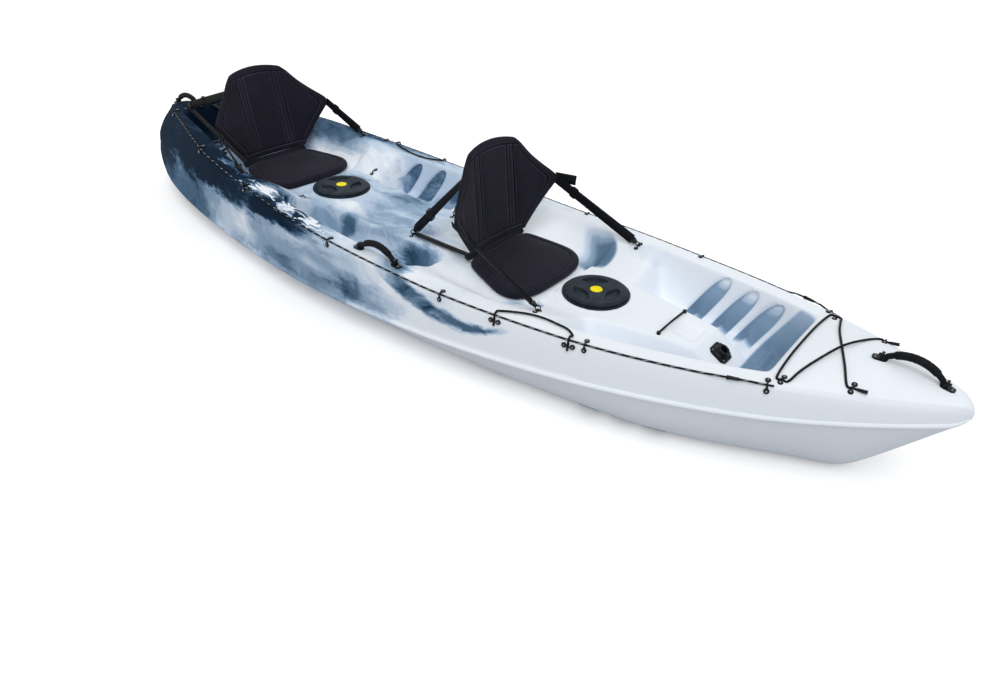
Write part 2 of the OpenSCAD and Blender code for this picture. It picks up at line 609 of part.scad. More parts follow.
module rail_eye(x) {
    difference() {
        union() {
            on_top(x) cylinder(r = lobe_r, h = lobe_t);
            on_top(x) translate([-3, 4, 0]) cube([6, top_lobe_in - 8, lobe_t]);
            on_side(x) cylinder(r = lobe_r, h = lobe_t);
            on_side(x) translate([-3, -side_lobe_down + 8, 0]) cube([6, side_lobe_down - 12, lobe_t]);
            translate([0, line_lift(x) - line_in, line_lift(x) - line_down])
                rotate([90, 0, 90]) rotate([0, 0, -55])
                    rotate_extrude(angle = 185) translate([bend_r, 0]) circle(r = bend_tube, $fn = 16);
        }
        on_top(x) translate([0, 0, -1]) cylinder(r = screw_r + gap, h = 20);
        on_side(x) translate([0, 0, -1]) cylinder(r = screw_r + gap, h = 20);
    }
}
module rail_screws(x) {
    on_top(x) screw(lobe_t);
    on_side(x) screw(lobe_t);
}
module gunwale_eyes(side) {
    color("#15171b") for (x = rail_eyes) at_rail(x, side) rail_eye(x);
}
module gunwale_eyes_port() { gunwale_eyes(1); }
module gunwale_eyes_starboard() { gunwale_eyes(-1); }
module seat_anchor_eyes() { color("#15171b") at_seat_eyes() flat_eye(); }
module bow_bungee_eyes() { color("#15171b") at_bow_eyes() flat_eye(); }
module tank_bungee_eyes() { color("#15171b") at_tank_eyes() flat_eye(); }
module paddle_bungee_eyes() { color("#15171b") at_keeper_eyes() flat_eye(); }
module spare_eyes() { color("#15171b") at_spare_eyes() flat_eye(); }
module eye_screws() {
    color("silver") {
        at_seat_eyes() flat_screws();
        at_bow_eyes() flat_screws();
        at_tank_eyes() flat_screws();
        at_keeper_eyes() flat_screws();
        at_spare_eyes() flat_screws();
        for (x = rail_eyes) for (side = [-1, 1]) at_rail(x, side) rail_screws(x);
    }
}

// Deck line, bungees and their ends

lock_x = 1300;
lock_len = 36;
lock_lift = 5;
function rail_out(x, side) = unit(cross([0, 0, side], rail_pt(x + 20, side) - rail_pt(x - 20, side)));
function line_lift(x) = lock_lift * between(x, lock_x - 40, lock_x + 40, 40) + rise(-x, 1450, 1600);
function line_pt(x, side) = rail_pt(x, side)
    + (line_lift(x) - line_in) * rail_out(x, side) + [0, 0, line_lift(x) - line_down];
line_tail = 45;
line_steps = 8;
last_eye = rail_eyes[len(rail_eyes) - 1];
line_route = concat([rail_eyes[0] - line_tail],
    [for (i = [0 : len(rail_eyes) - 2]) each steps(rail_eyes[i], rail_eyes[i + 1], line_steps)],
    [last_eye, last_eye + 17]);
module deck_line(side) {
    color("#1b1d22") cord([for (x = line_route) line_pt(x, side)], line_d);
}
module deck_line_port() { deck_line(1); }
module deck_line_starboard() { deck_line(-1); }
module deck_line_locks() {
    color("#15171b")
    for (side = [-1, 1]) {
        a = line_pt(lock_x - lock_len / 2, side);
        b = line_pt(lock_x + lock_len / 2, side);
        frame_at(a, b - a, [0, 0, 1]) difference() {
            cylinder(r1 = 6, r2 = 4.4, h = lock_len);
            translate([0, 0, -1]) cylinder(r = line_d / 2 + 0.8, h = lock_len + 2);
        }
    }
}
cord_up = 3.4;
function above(x, y, h) = deck_pt(x, y) + h * deck_up(x, y);
cord_climb = 0.14;
function off_eye(e, side, d) = eye_pt(e, side) + d
    + (cord_up + cord_climb * norm(d)) * deck_up(e[0], side * e[1]);
function through(e, side, dx) = off_eye(e, side, [dx, 0, 0]);
bow_route = [through(bow_eye(1), 1, 24), through(bow_eye(1), 1, 0), through(bow_eye(1), 1, -16),
    above(1530, 86, 5), above(1494, 0, 11), above(1456, -100, 6), above(1438, -166, 7),
    through(bow_eye(0), -1, 16), through(bow_eye(0), -1, 0), through(bow_eye(0), -1, -16),
    above(1388, -120, 6), above(1387, 0, 6), above(1388, 120, 6),
    through(bow_eye(0), 1, -16), through(bow_eye(0), 1, 0), through(bow_eye(0), 1, 16),
    above(1438, 166, 7), above(1456, 100, 5), above(1494, 0, 4.2), above(1530, -86, 5),
    through(bow_eye(1), -1, -16), through(bow_eye(1), -1, 0), through(bow_eye(1), -1, 24)];
module bow_bungee() {
    color("#1b1d22") cord(curve(bow_route, 3), bungee_d);
}
module cord_end(a, b) {
    frame_at(b, b - a, [0, 0, 1]) difference() {
        translate([0, 0, -12]) cylinder(r1 = 4.2, r2 = 5.4, h = 26);
        translate([0, 0, -13]) cylinder(r = bungee_d / 2 + 0.6, h = 14);
    }
}
module bow_bungee_ends() {
    color("#15171b") {
        cord_end(bow_route[1], bow_route[0] + [0.4, 0, 0]);
        cord_end(bow_route[len(bow_route) - 2], bow_route[len(bow_route) - 1] + [0.4, 0, 0]);
    }
}
tank_route = [through(tank_eyes[1], 1, 24), through(tank_eyes[1], 1, 0), through(tank_eyes[1], 1, -16),
    above(-1288, 56, 9), above(-1325, 0, 11), above(-1360, -42, 9),
    through(tank_eyes[0], -1, 16), through(tank_eyes[0], -1, 0), through(tank_eyes[0], -1, -14),
    above(-1424, 0, 5),
    through(tank_eyes[0], 1, -14), through(tank_eyes[0], 1, 0), through(tank_eyes[0], 1, 16),
    above(-1360, 42, 5), above(-1325, 0, 4.2), above(-1288, -56, 5),
    through(tank_eyes[1], -1, -16), through(tank_eyes[1], -1, 0), through(tank_eyes[1], -1, 24)];
module tank_bungee() {
    color("#1b1d22") cord(curve(tank_route, 3), bungee_d);
}
function side_pt(x, side, down, off) = rail_pt(x, side) - [0, 0, down]
    + (off + (down - crease_drop) * tan(side_lean(x))) * rail_out(x, side);
function up_side(x, side) = [side_pt(x, side, keeper_down + 14, 5), side_pt(x, side, keeper_down, 4.3),
    side_pt(x, side, keeper_down - 12, 5.4), side_pt(x, side, -3, 5.4), side_pt(x, side, -8, -3),
    above(x, side * (gunwale_y(x) - 18), 6)];
function back(p) = [for (i = [len(p) - 1 : -1 : 0]) p[i]];
function keeper_route(xs, mids, side) = concat(up_side(xs[0], side),
    [for (m = mids) above(m[0], side * m[1], 6)], back(up_side(xs[1], side)));
port_loop = [[-600, 358], [-545, 350], [-485, 352], [-430, 368]];
starboard_loop = [[620, 374], [666, 354], [716, 346], [760, 348], [800, 352]];
module paddle_bungee_port() {
    color("#1b1d22") cord(curve(keeper_route(paddle_port, port_loop, 1), 2), bungee_d);
}
module paddle_bungee_starboard() {
    color("#1b1d22") cord(curve(keeper_route(paddle_starboard, starboard_loop, -1), 2), bungee_d);
}
console_x = 972;
console_half = 88;
button_r = 6.5;
button_h = 9;
console_arch = 3;
function console_up(t) = abs(t) < 0.82 ? console_arch * (1 - t * t) : 0;
module console_bungee() {
    z = deck_z(console_x, console_half) + gap + button_h / 2;
    reach = console_half + button_r + 1;
    color("#1b1d22") cord([for (t = [-1 : 0.125 : 1]) [console_x, reach * t, z + console_up(t)]], bungee_d);
}
module console_bungee_ends() {
    color("#15171b")
    for (side = [-1, 1])
        translate([console_x, side * console_half, deck_z(console_x, console_half) + gap]) difference() {
            cylinder(r = button_r, h = button_h);
            translate([0, 20, button_h / 2]) rotate([90, 0, 0]) cylinder(r = bungee_d / 2 + gap, h = 40);
        }
}

// Accessory mount on the slanted end of the front console

mount_x = 1150;
collar_r = 21;
collar_h = 16;
mount_screw = 24;
module at_mount() {
    frame_at(seat_pt(mount_x, 0, -gap), deck_up(mount_x, 0), [1, 0, 0]) children();
}
module at_plate_corners() {
    for (i = [-1, 1]) for (j = [-1, 1]) translate([i * mount_screw, j * mount_screw, 0]) children();
}
module accessory_mount() {
    color("#15171b")
    at_mount() difference() {
        union() {
            translate([-plate_w / 2, -plate_w / 2, 0]) cube([plate_w, plate_w, plate_t]);
            cylinder(r = collar_r, h = plate_t + collar_h);
        }
        translate([0, 0, plate_t + collar_h - socket_depth]) cylinder(r = socket_r, h = socket_depth + 1);
        at_plate_corners() translate([0, 0, -1]) cylinder(r = screw_r + gap, h = plate_t + 2);
    }
}
module accessory_screws() {
    color("silver")
    at_mount() at_plate_corners() screw(plate_t);
}

// Carry handles: an arched grip that swings on two pins, each pin on a screwed deck plate

plate_at = handle_span / 2 + 13;
plate_r = 13;
foot_t = 5;
post_in = handle_span / 2 + 8;
knuckle_r = 8.5;
knuckle_len = 12.6;
core_r = 7;
pin_play = 0.05;
arch_in = 1;
arch_big = (pow(handle_span / 2 + arch_in, 2) + pow(handle_rise, 2)) / (2 * handle_rise);
core_angle = asin((handle_span / 2 + arch_in) / arch_big) - 2;
grip_angle = 30;
side_handle_x = 40;
side_handle_in = 40;
rail_gap = 0.5;
bow_plates = [1597, 1773];
stern_plates = [-1566, -1780];
module between_plates(xs) {
    a = seat_pt(xs[0], 0, sink);
    b = seat_pt(xs[1], 0, sink);
    strap_frame((a + b) / 2, b, [0, 0, 1]) children();
}
module at_bow_handle() { between_plates(bow_plates) children(); }
module at_stern_handle() { between_plates(stern_plates) children(); }
module at_side_handle(side) {
    at_rail(side_handle_x, side) translate([0, -side_handle_in, rail_gap]) children();
}
module at_handles() {
    at_bow_handle() children();
    at_stern_handle() children();
    for (side = [-1, 1]) at_side_handle(side) children();
}
module arc(r, a) {
    translate([0, 0, pivot_h + handle_rise - arch_big]) rotate([90, 0, 0]) rotate([0, 0, 90 - a])
        rotate_extrude(angle = 2 * a, $fn = 96) translate([arch_big, 0]) circle(r = r, $fn = 32);
}
module grip() {
    color("#15171b")
    difference() {
        union() {
            arc(core_r, core_angle);
            arc(grip_r, grip_angle);
            for (s = [-1, 1]) translate([s * handle_span / 2, 0, pivot_h])
                rotate([0, 90, 0]) cylinder(r = knuckle_r, h = knuckle_len, center = true);
        }
        for (s = [-1, 1]) translate([s * (handle_span / 2 - 4), 0, pivot_h])
            rotate([0, 90, 0]) cylinder(r = pivot_r + pin_play, h = 24, center = true);
    }
}
module foot(s) {
    for (d = [-5, 11]) translate([s * (plate_at + d), 0, 0]) cylinder(r = plate_r, h = foot_t);
    translate([s * (plate_at + 3) - 8, -plate_r, 0]) cube([16, 2 * plate_r, foot_t]);
    translate([s * (post_in + 4) - 4, -8, 0]) cube([8, 16, pivot_h + 8]);
    translate([s * post_in, 0, pivot_h]) rotate([0, 90, 0]) cylinder(r = pivot_r, h = 28, center = true);
}
module at_foot_screws(s) {
    for (j = [-1, 1]) translate([s * (plate_at + 15), j * 6, 0]) children();
}
module handle_plates() {
    color("#1a1c20")
    at_handles() for (s = [-1, 1]) difference() {
        intersection() {
            foot(s);
            translate([-400, -100, 0]) cube([800, 200, 100]);
        }
        at_foot_screws(s) translate([0, 0, -1]) cylinder(r = screw_r + gap, h = 20);
    }
}
module handle_screws() {
    color("silver")
    at_handles() for (s = [-1, 1]) at_foot_screws(s) screw(foot_t);
}
module bow_handle_grip() { at_bow_handle() grip(); }
module stern_handle_grip() { at_stern_handle() grip(); }
module port_handle_grip() { at_side_handle(1) grip(); }
module starboard_handle_grip() { at_side_handle(-1) grip(); }

// Drain bung on the stern deck

drain = [-1612, 70];
bung_r = 9.2;
bung_down = 16;
flange_r = 14;
washer_t = 1.6;
module at_drain() {
    frame_at(eye_pt(drain, 1), deck_up(drain[0], drain[1]), [1, 0, 0]) children();
}
module drain_seal() {
    color("dimgray")
    at_drain() translate([0, 0, 0.1]) difference() {
        cylinder(r = flange_r - 0.5, h = washer_t);
        translate([0, 0, -1]) cylinder(r = bung_r + gap, h = washer_t + 2);
    }
}
module drain_bung() {
    color("#15171b")
    at_drain() {
        translate([0, 0, washer_t + 0.2]) cylinder(r = flange_r, h = 4);
        translate([0, 0, -bung_down]) cylinder(r = bung_r, h = bung_down + 3);
        translate([-10, -2.5, 4]) cube([20, 5, 10]);
    }
}

// The hull, with flats sunk in the deck under its fittings

eye_flat = [eye_span + 2 * lobe_r + 2, 44, 30];
module eye_flats() {
    translate([-eye_flat[0] / 2, -eye_flat[1] / 2, 0]) cube(eye_flat);
}
foot_flat_len = 74;
module foot_flat(s) {
    translate([s * (plate_at - 4) - foot_flat_len / 2, -plate_r - 2, 0])
        cube([foot_flat_len, 2 * plate_r + 4, 40]);
}
module flats() {
    at_seat_eyes() eye_flats();
    at_bow_eyes() eye_flats();
    at_tank_eyes() eye_flats();
    at_spare_eyes() eye_flats();
    for (s = [-1, 1]) {
        at_bow_handle() foot_flat(s);
        at_stern_handle() foot_flat(s);
    }
    at_drain() {
        cylinder(r = flange_r + 3, h = 30);
        translate([0, 0, -50]) cylinder(r = bung_r + 0.1, h = 60);
    }
}
module hull() {
    color("whitesmoke")
    difference() {
        loft([for (x = stations) both_sides(x, half_ring(x))]);
        difference() {
            loft([for (x = stations) if (abs(x) < inner_end) both_sides(x, inner_half(x))]);
            at_scuppers() cylinder(r = scupper_r + wall + 2, h = 500);
        }
        at_scuppers() cylinder(r = scupper_r, h = 500);
        for (x = [front_hatch_x, rear_hatch_x])
            translate([x, 0, deck_z(x, 0) - 60]) cylinder(r = hatch_hole_r, h = 100, $fn = 96);
        flats();
    }
}

hull();
front_hatch_ring();
front_hatch_seal();
front_hatch_lid();
front_hatch_cap();
rear_hatch_ring();
rear_hatch_seal();
rear_hatch_lid();
rear_hatch_cap();
front_seat_pad();
front_seat_hinge();
front_seat_back();
rear_seat_pad();
rear_seat_hinge();
rear_seat_back();
front_seat_strap_port();
front_seat_strap_starboard();
front_seat_stay_port();
front_seat_stay_starboard();
front_seat_lower_straps();
front_seat_hooks();
front_seat_buckles();
rear_seat_strap_port();
rear_seat_strap_starboard();
rear_seat_stay_port();
rear_seat_stay_starboard();
rear_seat_lower_straps();
rear_seat_hooks();
rear_seat_buckles();
gunwale_eyes_port();
gunwale_eyes_starboard();
seat_anchor_eyes();
bow_bungee_eyes();
tank_bungee_eyes();
paddle_bungee_eyes();
spare_eyes();
eye_screws();
deck_line_port();
deck_line_starboard();
deck_line_locks();
bow_bungee();
bow_bungee_ends();
tank_bungee();
paddle_bungee_port();
paddle_bungee_starboard();
console_bungee();
console_bungee_ends();
accessory_mount();
accessory_screws();
handle_plates();
handle_screws();
bow_handle_grip();
stern_handle_grip();
port_handle_grip();
starboard_handle_grip();
drain_seal();
drain_bung();
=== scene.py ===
# %% [markdown]
# # A tandem sit-on-top kayak
# The boat is one hollow plastic moulding with two folding seats, two screw-in hatches, carry
# handles, deck lines and bungees. The CAD model already fixes where every piece is and how it
# moves. Here it is loaded as a frame that never moves, and better looking pieces are built on it.

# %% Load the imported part
import json
import math

import bmesh
import bpy
import numpy as np
from mathutils import Matrix, Vector


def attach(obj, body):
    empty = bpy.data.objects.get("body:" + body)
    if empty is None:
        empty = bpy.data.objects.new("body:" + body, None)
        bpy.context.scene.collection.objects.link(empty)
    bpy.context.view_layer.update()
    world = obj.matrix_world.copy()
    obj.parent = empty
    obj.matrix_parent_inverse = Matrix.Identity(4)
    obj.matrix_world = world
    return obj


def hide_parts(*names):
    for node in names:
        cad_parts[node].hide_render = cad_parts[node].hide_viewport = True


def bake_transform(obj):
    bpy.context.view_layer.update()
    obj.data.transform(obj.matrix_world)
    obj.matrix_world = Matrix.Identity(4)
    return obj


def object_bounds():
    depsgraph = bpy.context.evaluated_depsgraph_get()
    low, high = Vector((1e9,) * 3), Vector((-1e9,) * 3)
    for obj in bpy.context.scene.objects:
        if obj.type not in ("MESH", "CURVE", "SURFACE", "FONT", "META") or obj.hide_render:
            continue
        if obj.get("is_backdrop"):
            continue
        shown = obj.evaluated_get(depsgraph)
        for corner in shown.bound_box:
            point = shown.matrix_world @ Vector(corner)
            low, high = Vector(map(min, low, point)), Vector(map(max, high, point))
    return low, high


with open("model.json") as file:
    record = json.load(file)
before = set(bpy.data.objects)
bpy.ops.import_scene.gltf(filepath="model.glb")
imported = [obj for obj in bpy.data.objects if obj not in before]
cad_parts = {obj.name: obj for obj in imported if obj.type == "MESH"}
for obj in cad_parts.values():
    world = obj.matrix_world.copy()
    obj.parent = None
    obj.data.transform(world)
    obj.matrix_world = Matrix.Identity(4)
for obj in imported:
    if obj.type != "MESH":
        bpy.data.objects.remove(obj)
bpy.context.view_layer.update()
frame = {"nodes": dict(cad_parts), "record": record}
nodes = frame["nodes"]
scene = bpy.context.scene
scene.view_settings.view_transform = "Standard"

# %% [markdown]
# ## The camera
# A camera can be dragged into place by eye, or worked out from points that are known on the
# object. Here the lens and its place come from matching the hatches, seats and hull lines of the
# CAD model to the photograph, so they are written as numbers. The small shift stands for the
# picture having been cropped a little off its middle.

# %% Camera at the photograph's angle
PICTURE_WIDE, PICTURE_HIGH = 1000, 685
FOCAL_PX = 795.9
AXIS_PX = (533.7, 314.4)
STAND = Vector((1.87, -2.055, 1.563))
YAW, PITCH, ROLL = (math.radians(a) for a in (35.08, 31.07, 3.46))
SENSOR_MM = 36

level = Vector((math.cos(YAW), math.sin(YAW), 0))
ahead = Vector((-math.sin(YAW) * math.cos(PITCH), math.cos(YAW) * math.cos(PITCH), -math.sin(PITCH)))
over = level.cross(ahead)
right = level * math.cos(ROLL) + over * math.sin(ROLL)
above_lens = over * math.cos(ROLL) - level * math.sin(ROLL)
lens = bpy.data.cameras.new("photo_camera")
lens.sensor_width = SENSOR_MM
lens.lens = SENSOR_MM * FOCAL_PX / PICTURE_WIDE
lens.shift_x = (PICTURE_WIDE / 2 - AXIS_PX[0]) / PICTURE_WIDE
lens.shift_y = (AXIS_PX[1] - PICTURE_HIGH / 2) / PICTURE_WIDE
camera = bpy.data.objects.new("photo_camera", lens)
camera.matrix_world = Matrix.Translation(STAND) @ Matrix((right, above_lens, -ahead)).transposed().to_4x4()
scene.collection.objects.link(camera)
scene.camera = camera
print("lens", round(lens.lens, 2), "mm")

# %% [markdown]
# ## Hull lines
# A rotomoulded hull has no straight edges, so it isn't built from boxes. Boat builders draw it as
# lines: the gunwale, where side meets deck, the chine, where side meets bottom, and the keel.
# Each line is a height and a half breadth for every place along the boat. The same numbers as in
# the CAD source are repeated here in millimetres, and NumPy works them out for many places at once.

# %% Curve helpers
def ease(t):
    u = np.clip(t, 0, 1)
    return u * u * (3 - 2 * u)


def rise(v, a, b):
    return ease((v - a) / (b - a))


def between(v, a, b, soft):
    return rise(v, a - soft, a) * (1 - rise(v, b, b + soft))


def bell(v, middle, width):
    return np.exp(-((v - middle) / width) ** 2)


def mix(a, b, t):
    return a + (b - a) * t


def row(x, rows):
    table = np.array(rows, float)
    return np.interp(x, table[:, 0], table[:, 1])


def smooth_row(x, rows, reach=90):
    return (row(x - reach, rows) + 2 * row(x, rows) + row(x + reach, rows)) / 4


def spline(a, b, c, d, t):
    return 0.5 * (2 * b + (c - a) * t + (2 * a - 5 * b + 4 * c - d) * t ** 2
                  + (3 * b - a - 3 * c + d) * t ** 3)


# %% Gunwale, chine and keel
HALF_LEN, NOMINAL_HALF, MID_X = 1857.0, 1875.0, 25.0
GUNWALE_HALF, CHINE_HALF, KEEL_HALF = 436.0, 450.0, 175.0
RAIL_W, CREASE_DROP = 62.0, 10.0
BOW_ROUND, STERN_ROUND = 45, 110
TUCK, TUCK_FROM = 0.62, 1000
RAKE, RAKE_FROM, RAKE_LOW, RAKE_TALL = 66, 1500, 230, 120
GUNWALE_ROWS = [(-1875, 362), (-1600, 386), (-1250, 398), (-800, 354), (-300, 313), (300, 294),
                (900, 305), (1400, 334), (1875, 352)]
CHINE_ROWS = [(-1875, 195), (-1600, 92), (-1250, 80), (-800, 78), (-300, 84), (300, 118),
              (900, 170), (1400, 222), (1875, 296)]


def blunt(x):
    bow = np.maximum(0, x - HALF_LEN + BOW_ROUND) / BOW_ROUND
    stern = np.maximum(0, -x - HALF_LEN + STERN_ROUND) / STERN_ROUND
    return np.sqrt(np.maximum(0.02, 1 - np.where(x > 0, bow, stern) ** 2))


def plan(x):
    fore = np.clip((x - MID_X) / (NOMINAL_HALF - MID_X), 0, 0.9999)
    aft = np.clip((MID_X - x) / (NOMINAL_HALF + MID_X), 0, 0.9999)
    return np.where(x > MID_X, (1 - fore ** 2.55) ** 0.88, (1 - aft ** 1.8) ** 0.68)


def tip(x):
    return np.where(x > 0, blunt(x), mix(blunt(x), 1, 0.6))


def tuck(x):
    return 1 - TUCK * (np.maximum(0, -x - TUCK_FROM) / (HALF_LEN - TUCK_FROM)) ** 1.6


def gunwale_y(x):
    return GUNWALE_HALF * plan(x) * tip(x) * tuck(x)


def chine_y(x):
    return (CHINE_HALF * plan(x) + 16 * rise(-x, 900, 1700)) * tip(x)


def end_z(x):
    return mix(smooth_row(x, CHINE_ROWS), smooth_row(x, GUNWALE_ROWS), 0.45)


def gunwale_z(x):
    return mix(end_z(x), smooth_row(x, GUNWALE_ROWS), blunt(x))


def chine_z(x):
    return mix(end_z(x), smooth_row(x, CHINE_ROWS), blunt(x))


def stem(u, bend, slope):
    return slope * (u + np.sqrt(u * u + bend * bend))


def keel_z(x):
    lift = np.where(x > 0, stem(x - 1600, 40, 0.6), stem(-x - 1680, 60, 0.5)) - 6
    return np.minimum(chine_z(x) - 6 * blunt(x), np.maximum(0, lift))


def bottom_z(x, s):
    flat = KEEL_HALF / CHINE_HALF * (1 - rise(np.abs(x), 1000, 1650))
    power = np.where(x > 0, mix(4, 1.9, rise(x, 1000, 1700)), mix(4, 2.6, rise(-x, 1100, 1750)))
    u = np.maximum(0, s - flat) / (1 - flat)
    return keel_z(x) + (chine_z(x) - keel_z(x)) * u ** power


def bulge(x):
    return (2 + 16 * rise(-x, 1000, 1600)) * blunt(x)


def raked(x, z):
    lean = RAKE * (np.maximum(0, -x - RAKE_FROM) / (HALF_LEN - RAKE_FROM)) ** 2
    return x + lean * np.maximum(0, z - RAKE_LOW) / RAKE_TALL


print("beam", 2 * float(chine_y(np.array(MID_X))), "mm")

# %% [markdown]
# ## The deck
# The deck is one height for every place on the boat, so it is a function of X and Y. It starts as
# a crowned end deck, sinks inside the side rails to make the cockpit, and sinks again for the four
# footwells and the oval dish between the paddlers. Smooth steps between the levels give the big
# soft radii that a rotomoulded part has.

# %% Deck height
CROWN_ROWS = [(-1857, 0), (-1750, 8), (-1640, 8), (-1545, 0), (1300, 0), (1370, 10), (1450, 24),
              (1600, 40), (1780, 18), (1857, 0)]
FLOOR_ROWS = [(-1500, 272), (-1200, 266), (-1130, 272), (-1075, 270), (-1030, 262), (-740, 246),
              (-715, 257), (-450, 257), (-120, 250), (130, 262), (205, 256), (535, 201), (560, 236),
              (800, 236), (1000, 238), (1095, 232), (1235, 150), (1325, 150)]
WALL_ROWS = [(-1600, 60), (-1180, 60), (-1120, 80), (-760, 80), (-700, 190), (-480, 190), (-420, 75),
             (90, 75), (160, 120), (500, 120), (570, 200), (780, 200), (860, 60), (1400, 50)]
RIDGE_ROWS = [(-1600, 120), (-560, 200), (120, 200), (545, 225), (620, 190), (800, 152), (1000, 112),
              (1230, 84), (1360, 70)]
HATCHES = {"front": 680.0, "rear": -590.0}
COCKPIT, FRONT_WELL, REAR_WELL = (-1500, 1325), (800, 1255), (-500, 95)
FRONT_WELL_Z, REAR_WELL_Z = 140, 165
HEEL_HIGH, HEEL_PITCH, HEEL_RUN = 20, 100, 320
DISH_X, DISH_LONG, DISH_HALF, DISH_DEEP = -282, 190, 175, 42


def rail_in(x):
    g = gunwale_y(x)
    return g - np.minimum(RAIL_W, 0.22 * g)


def wall_in(x):
    return rail_in(x) - np.minimum(row(x, WALL_ROWS), 0.55 * gunwale_y(x))


def ridge_y(x):
    return np.minimum(row(x, RIDGE_ROWS), 0.4 * gunwale_y(x))


def heel_steps(x):
    front = FRONT_WELL[1]
    wave = np.abs(np.cos((x - front + HEEL_PITCH / 2) * np.pi / HEEL_PITCH))
    return HEEL_HIGH * (1 - wave) ** 2 * between(x, front - HEEL_RUN, front, 25)


def in_well(x, y, aft, fore):
    inboard = rise(np.abs(y), ridge_y(x) - 20, ridge_y(x) + 20)
    outboard = 1 - rise(np.abs(y), rail_in(x) - 50, rail_in(x))
    return between(x, aft, fore, 70) * inboard * outboard


def deck_z(x, y):
    arch = row(x, CROWN_ROWS) * (1 - np.minimum(1, y / gunwale_y(x)) ** 2)
    cockpit = between(x, *COCKPIT, 45) * (1 - rise(np.abs(y), wall_in(x), rail_in(x)))
    z = mix(gunwale_z(x) + arch, row(x, FLOOR_ROWS), cockpit)
    z = mix(z, FRONT_WELL_Z + heel_steps(x), in_well(x, y, *FRONT_WELL))
    z = mix(z, REAR_WELL_Z, in_well(x, y, *REAR_WELL))
    dish = 1 - rise(np.hypot((x - DISH_X) / DISH_LONG, y / DISH_HALF), 0.3, 1)
    return z - DISH_DEEP * dish


# %% Foot scallops along the well walls
SCALLOPS = [987, 1097, 1197, -505, -378, -252]
SCALLOP_LEAN, SCALLOP_TIP, SCALLOP_TALL, SCALLOP_HALF, SCALLOP_DEEP = 0.55, 306, 125, 37, 13
LEAN_FROM = 230


def lean_x(x, z):
    return x - SCALLOP_LEAN * (z - LEAN_FROM)


def scallop(x, y, z):
    half = SCALLOP_HALF * np.sqrt(1 - np.clip((z - SCALLOP_TIP + SCALLOP_TALL) / SCALLOP_TALL, 0, 1) ** 3)
    mask = 0 * x * y
    for c in SCALLOPS:
        mask = np.maximum(mask, 1 - rise(np.abs(lean_x(x, z) - c), half - 12, half + 6))
    on_wall = rise(np.abs(y), rail_in(x) - 82, rail_in(x) - 52) * (1 - rise(z, SCALLOP_TIP - 8, SCALLOP_TIP))
    return mask * on_wall


# %% Shallow moulded details
GUTTER_R, GUTTER_W, GUTTER_DEEP = 137, 7, 4.5
LIP_R, LIP_W, LIP_HIGH = 124, 5, 2.0
TRAY_FROM, TRAY_TO, TRAY_DEEP = 958, 1070, 8
HOLLOW_X, HOLLOW_Y, HOLLOW_W, HOLLOW_DEEP = 528, 283, 46, 15


def moulded_in(x, y):
    depth = 0 * x * y
    for hatch_x in HATCHES.values():
        r = np.hypot(x - hatch_x, y)
        depth = depth + GUTTER_DEEP * bell(r, GUTTER_R, GUTTER_W) - LIP_HIGH * bell(r, LIP_R, LIP_W)
    tray = between(x, TRAY_FROM, TRAY_TO, 8) * (1 - rise(np.abs(y), 36, 45))
    hollow = bell(x - HOLLOW_X, 0.25 * (HOLLOW_Y - np.abs(y)), HOLLOW_W)
    return depth + TRAY_DEEP * tray + HOLLOW_DEEP * hollow * between(np.abs(y), 195, 310, 45)


def shown_deck_z(x, y):
    return deck_z(x, y) - moulded_in(x, y)


print("front footwell floor", round(float(shown_deck_z(np.array(900.0), np.array(200.0)))), "mm up")

# %% [markdown]
# ## Places on the boat
# Each fitting in the CAD stands on the deck with its own up direction, or on the gunwale. A
# helper that returns such a point, or a whole 4x4 matrix, keeps every later piece on what carries
# it. Blender works in metres, so the helpers turn millimetres into metres at the last moment.

# %% Points and frames
MM = 0.001
SIDES = ((1, "port"), (-1, "starboard"))


def at(v):
    return np.array(v, float)


def unit(v):
    return v / np.linalg.norm(v)


def num(curve, *place):
    return float(curve(*(at(p) for p in place)))


def deck_pt(x, y):
    z = num(deck_z, x, y)
    return at((num(raked, x, z), y, z))


def deck_up(x, y, probe=12):
    along_x = deck_pt(x + probe, y) - deck_pt(x - probe, y)
    return unit(np.cross(along_x, deck_pt(x, y + probe) - deck_pt(x, y - probe)))


def over_deck(x, y, h):
    return deck_pt(x, y) + h * deck_up(x, y)


def rail_pt(x, side):
    z = num(gunwale_z, x)
    return at((num(raked, x, z), side * num(gunwale_y, x), z))


def rail_out(x, side):
    return unit(np.cross((0, 0, side), rail_pt(x + 20, side) - rail_pt(x - 20, side)))


def frame_at(p, up, forward):
    z = unit(at(up))
    x = unit(at(forward) - z * np.dot(forward, z))
    y = np.cross(z, x)
    return Matrix([(x[i], y[i], z[i], p[i] * MM) for i in range(3)] + [(0, 0, 0, 1)])


def rail_frame(x, side):
    t = unit(rail_pt(x + 20, side) - rail_pt(x - 20, side))
    return frame_at(rail_pt(x, side), side * np.cross(t, rail_out(x, side)), side * t)


SINK = 2.0


def eye_pt(e, side):
    return over_deck(e[0], side * e[1], -SINK)


print("bow handle foot at", np.round(deck_pt(1597, 0)))

# %% [markdown]
# ## A small kit for meshes
# Blender can sweep a curve with a bevel, or the tube can be made as a mesh. A mesh keeps a UV map
# whose V counts metres along the piece, which is what a braid or a webbing weave needs, so cords,
# grips and rings share one sweep here.

# %% New meshes and objects
def new_mesh(name, verts, faces):
    mesh = bpy.data.meshes.new(name)
    mesh.from_pydata(np.asarray(verts).tolist(), [], faces)
    return mesh


def show(name, mesh, body, slot):
    obj = bpy.data.objects.new(name, mesh)
    scene.collection.objects.link(obj)
    mesh.polygons.foreach_set("use_smooth", [True] * len(mesh.polygons))
    if body:
        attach(obj, body)
    mesh.materials.append(finish[slot])
    return obj


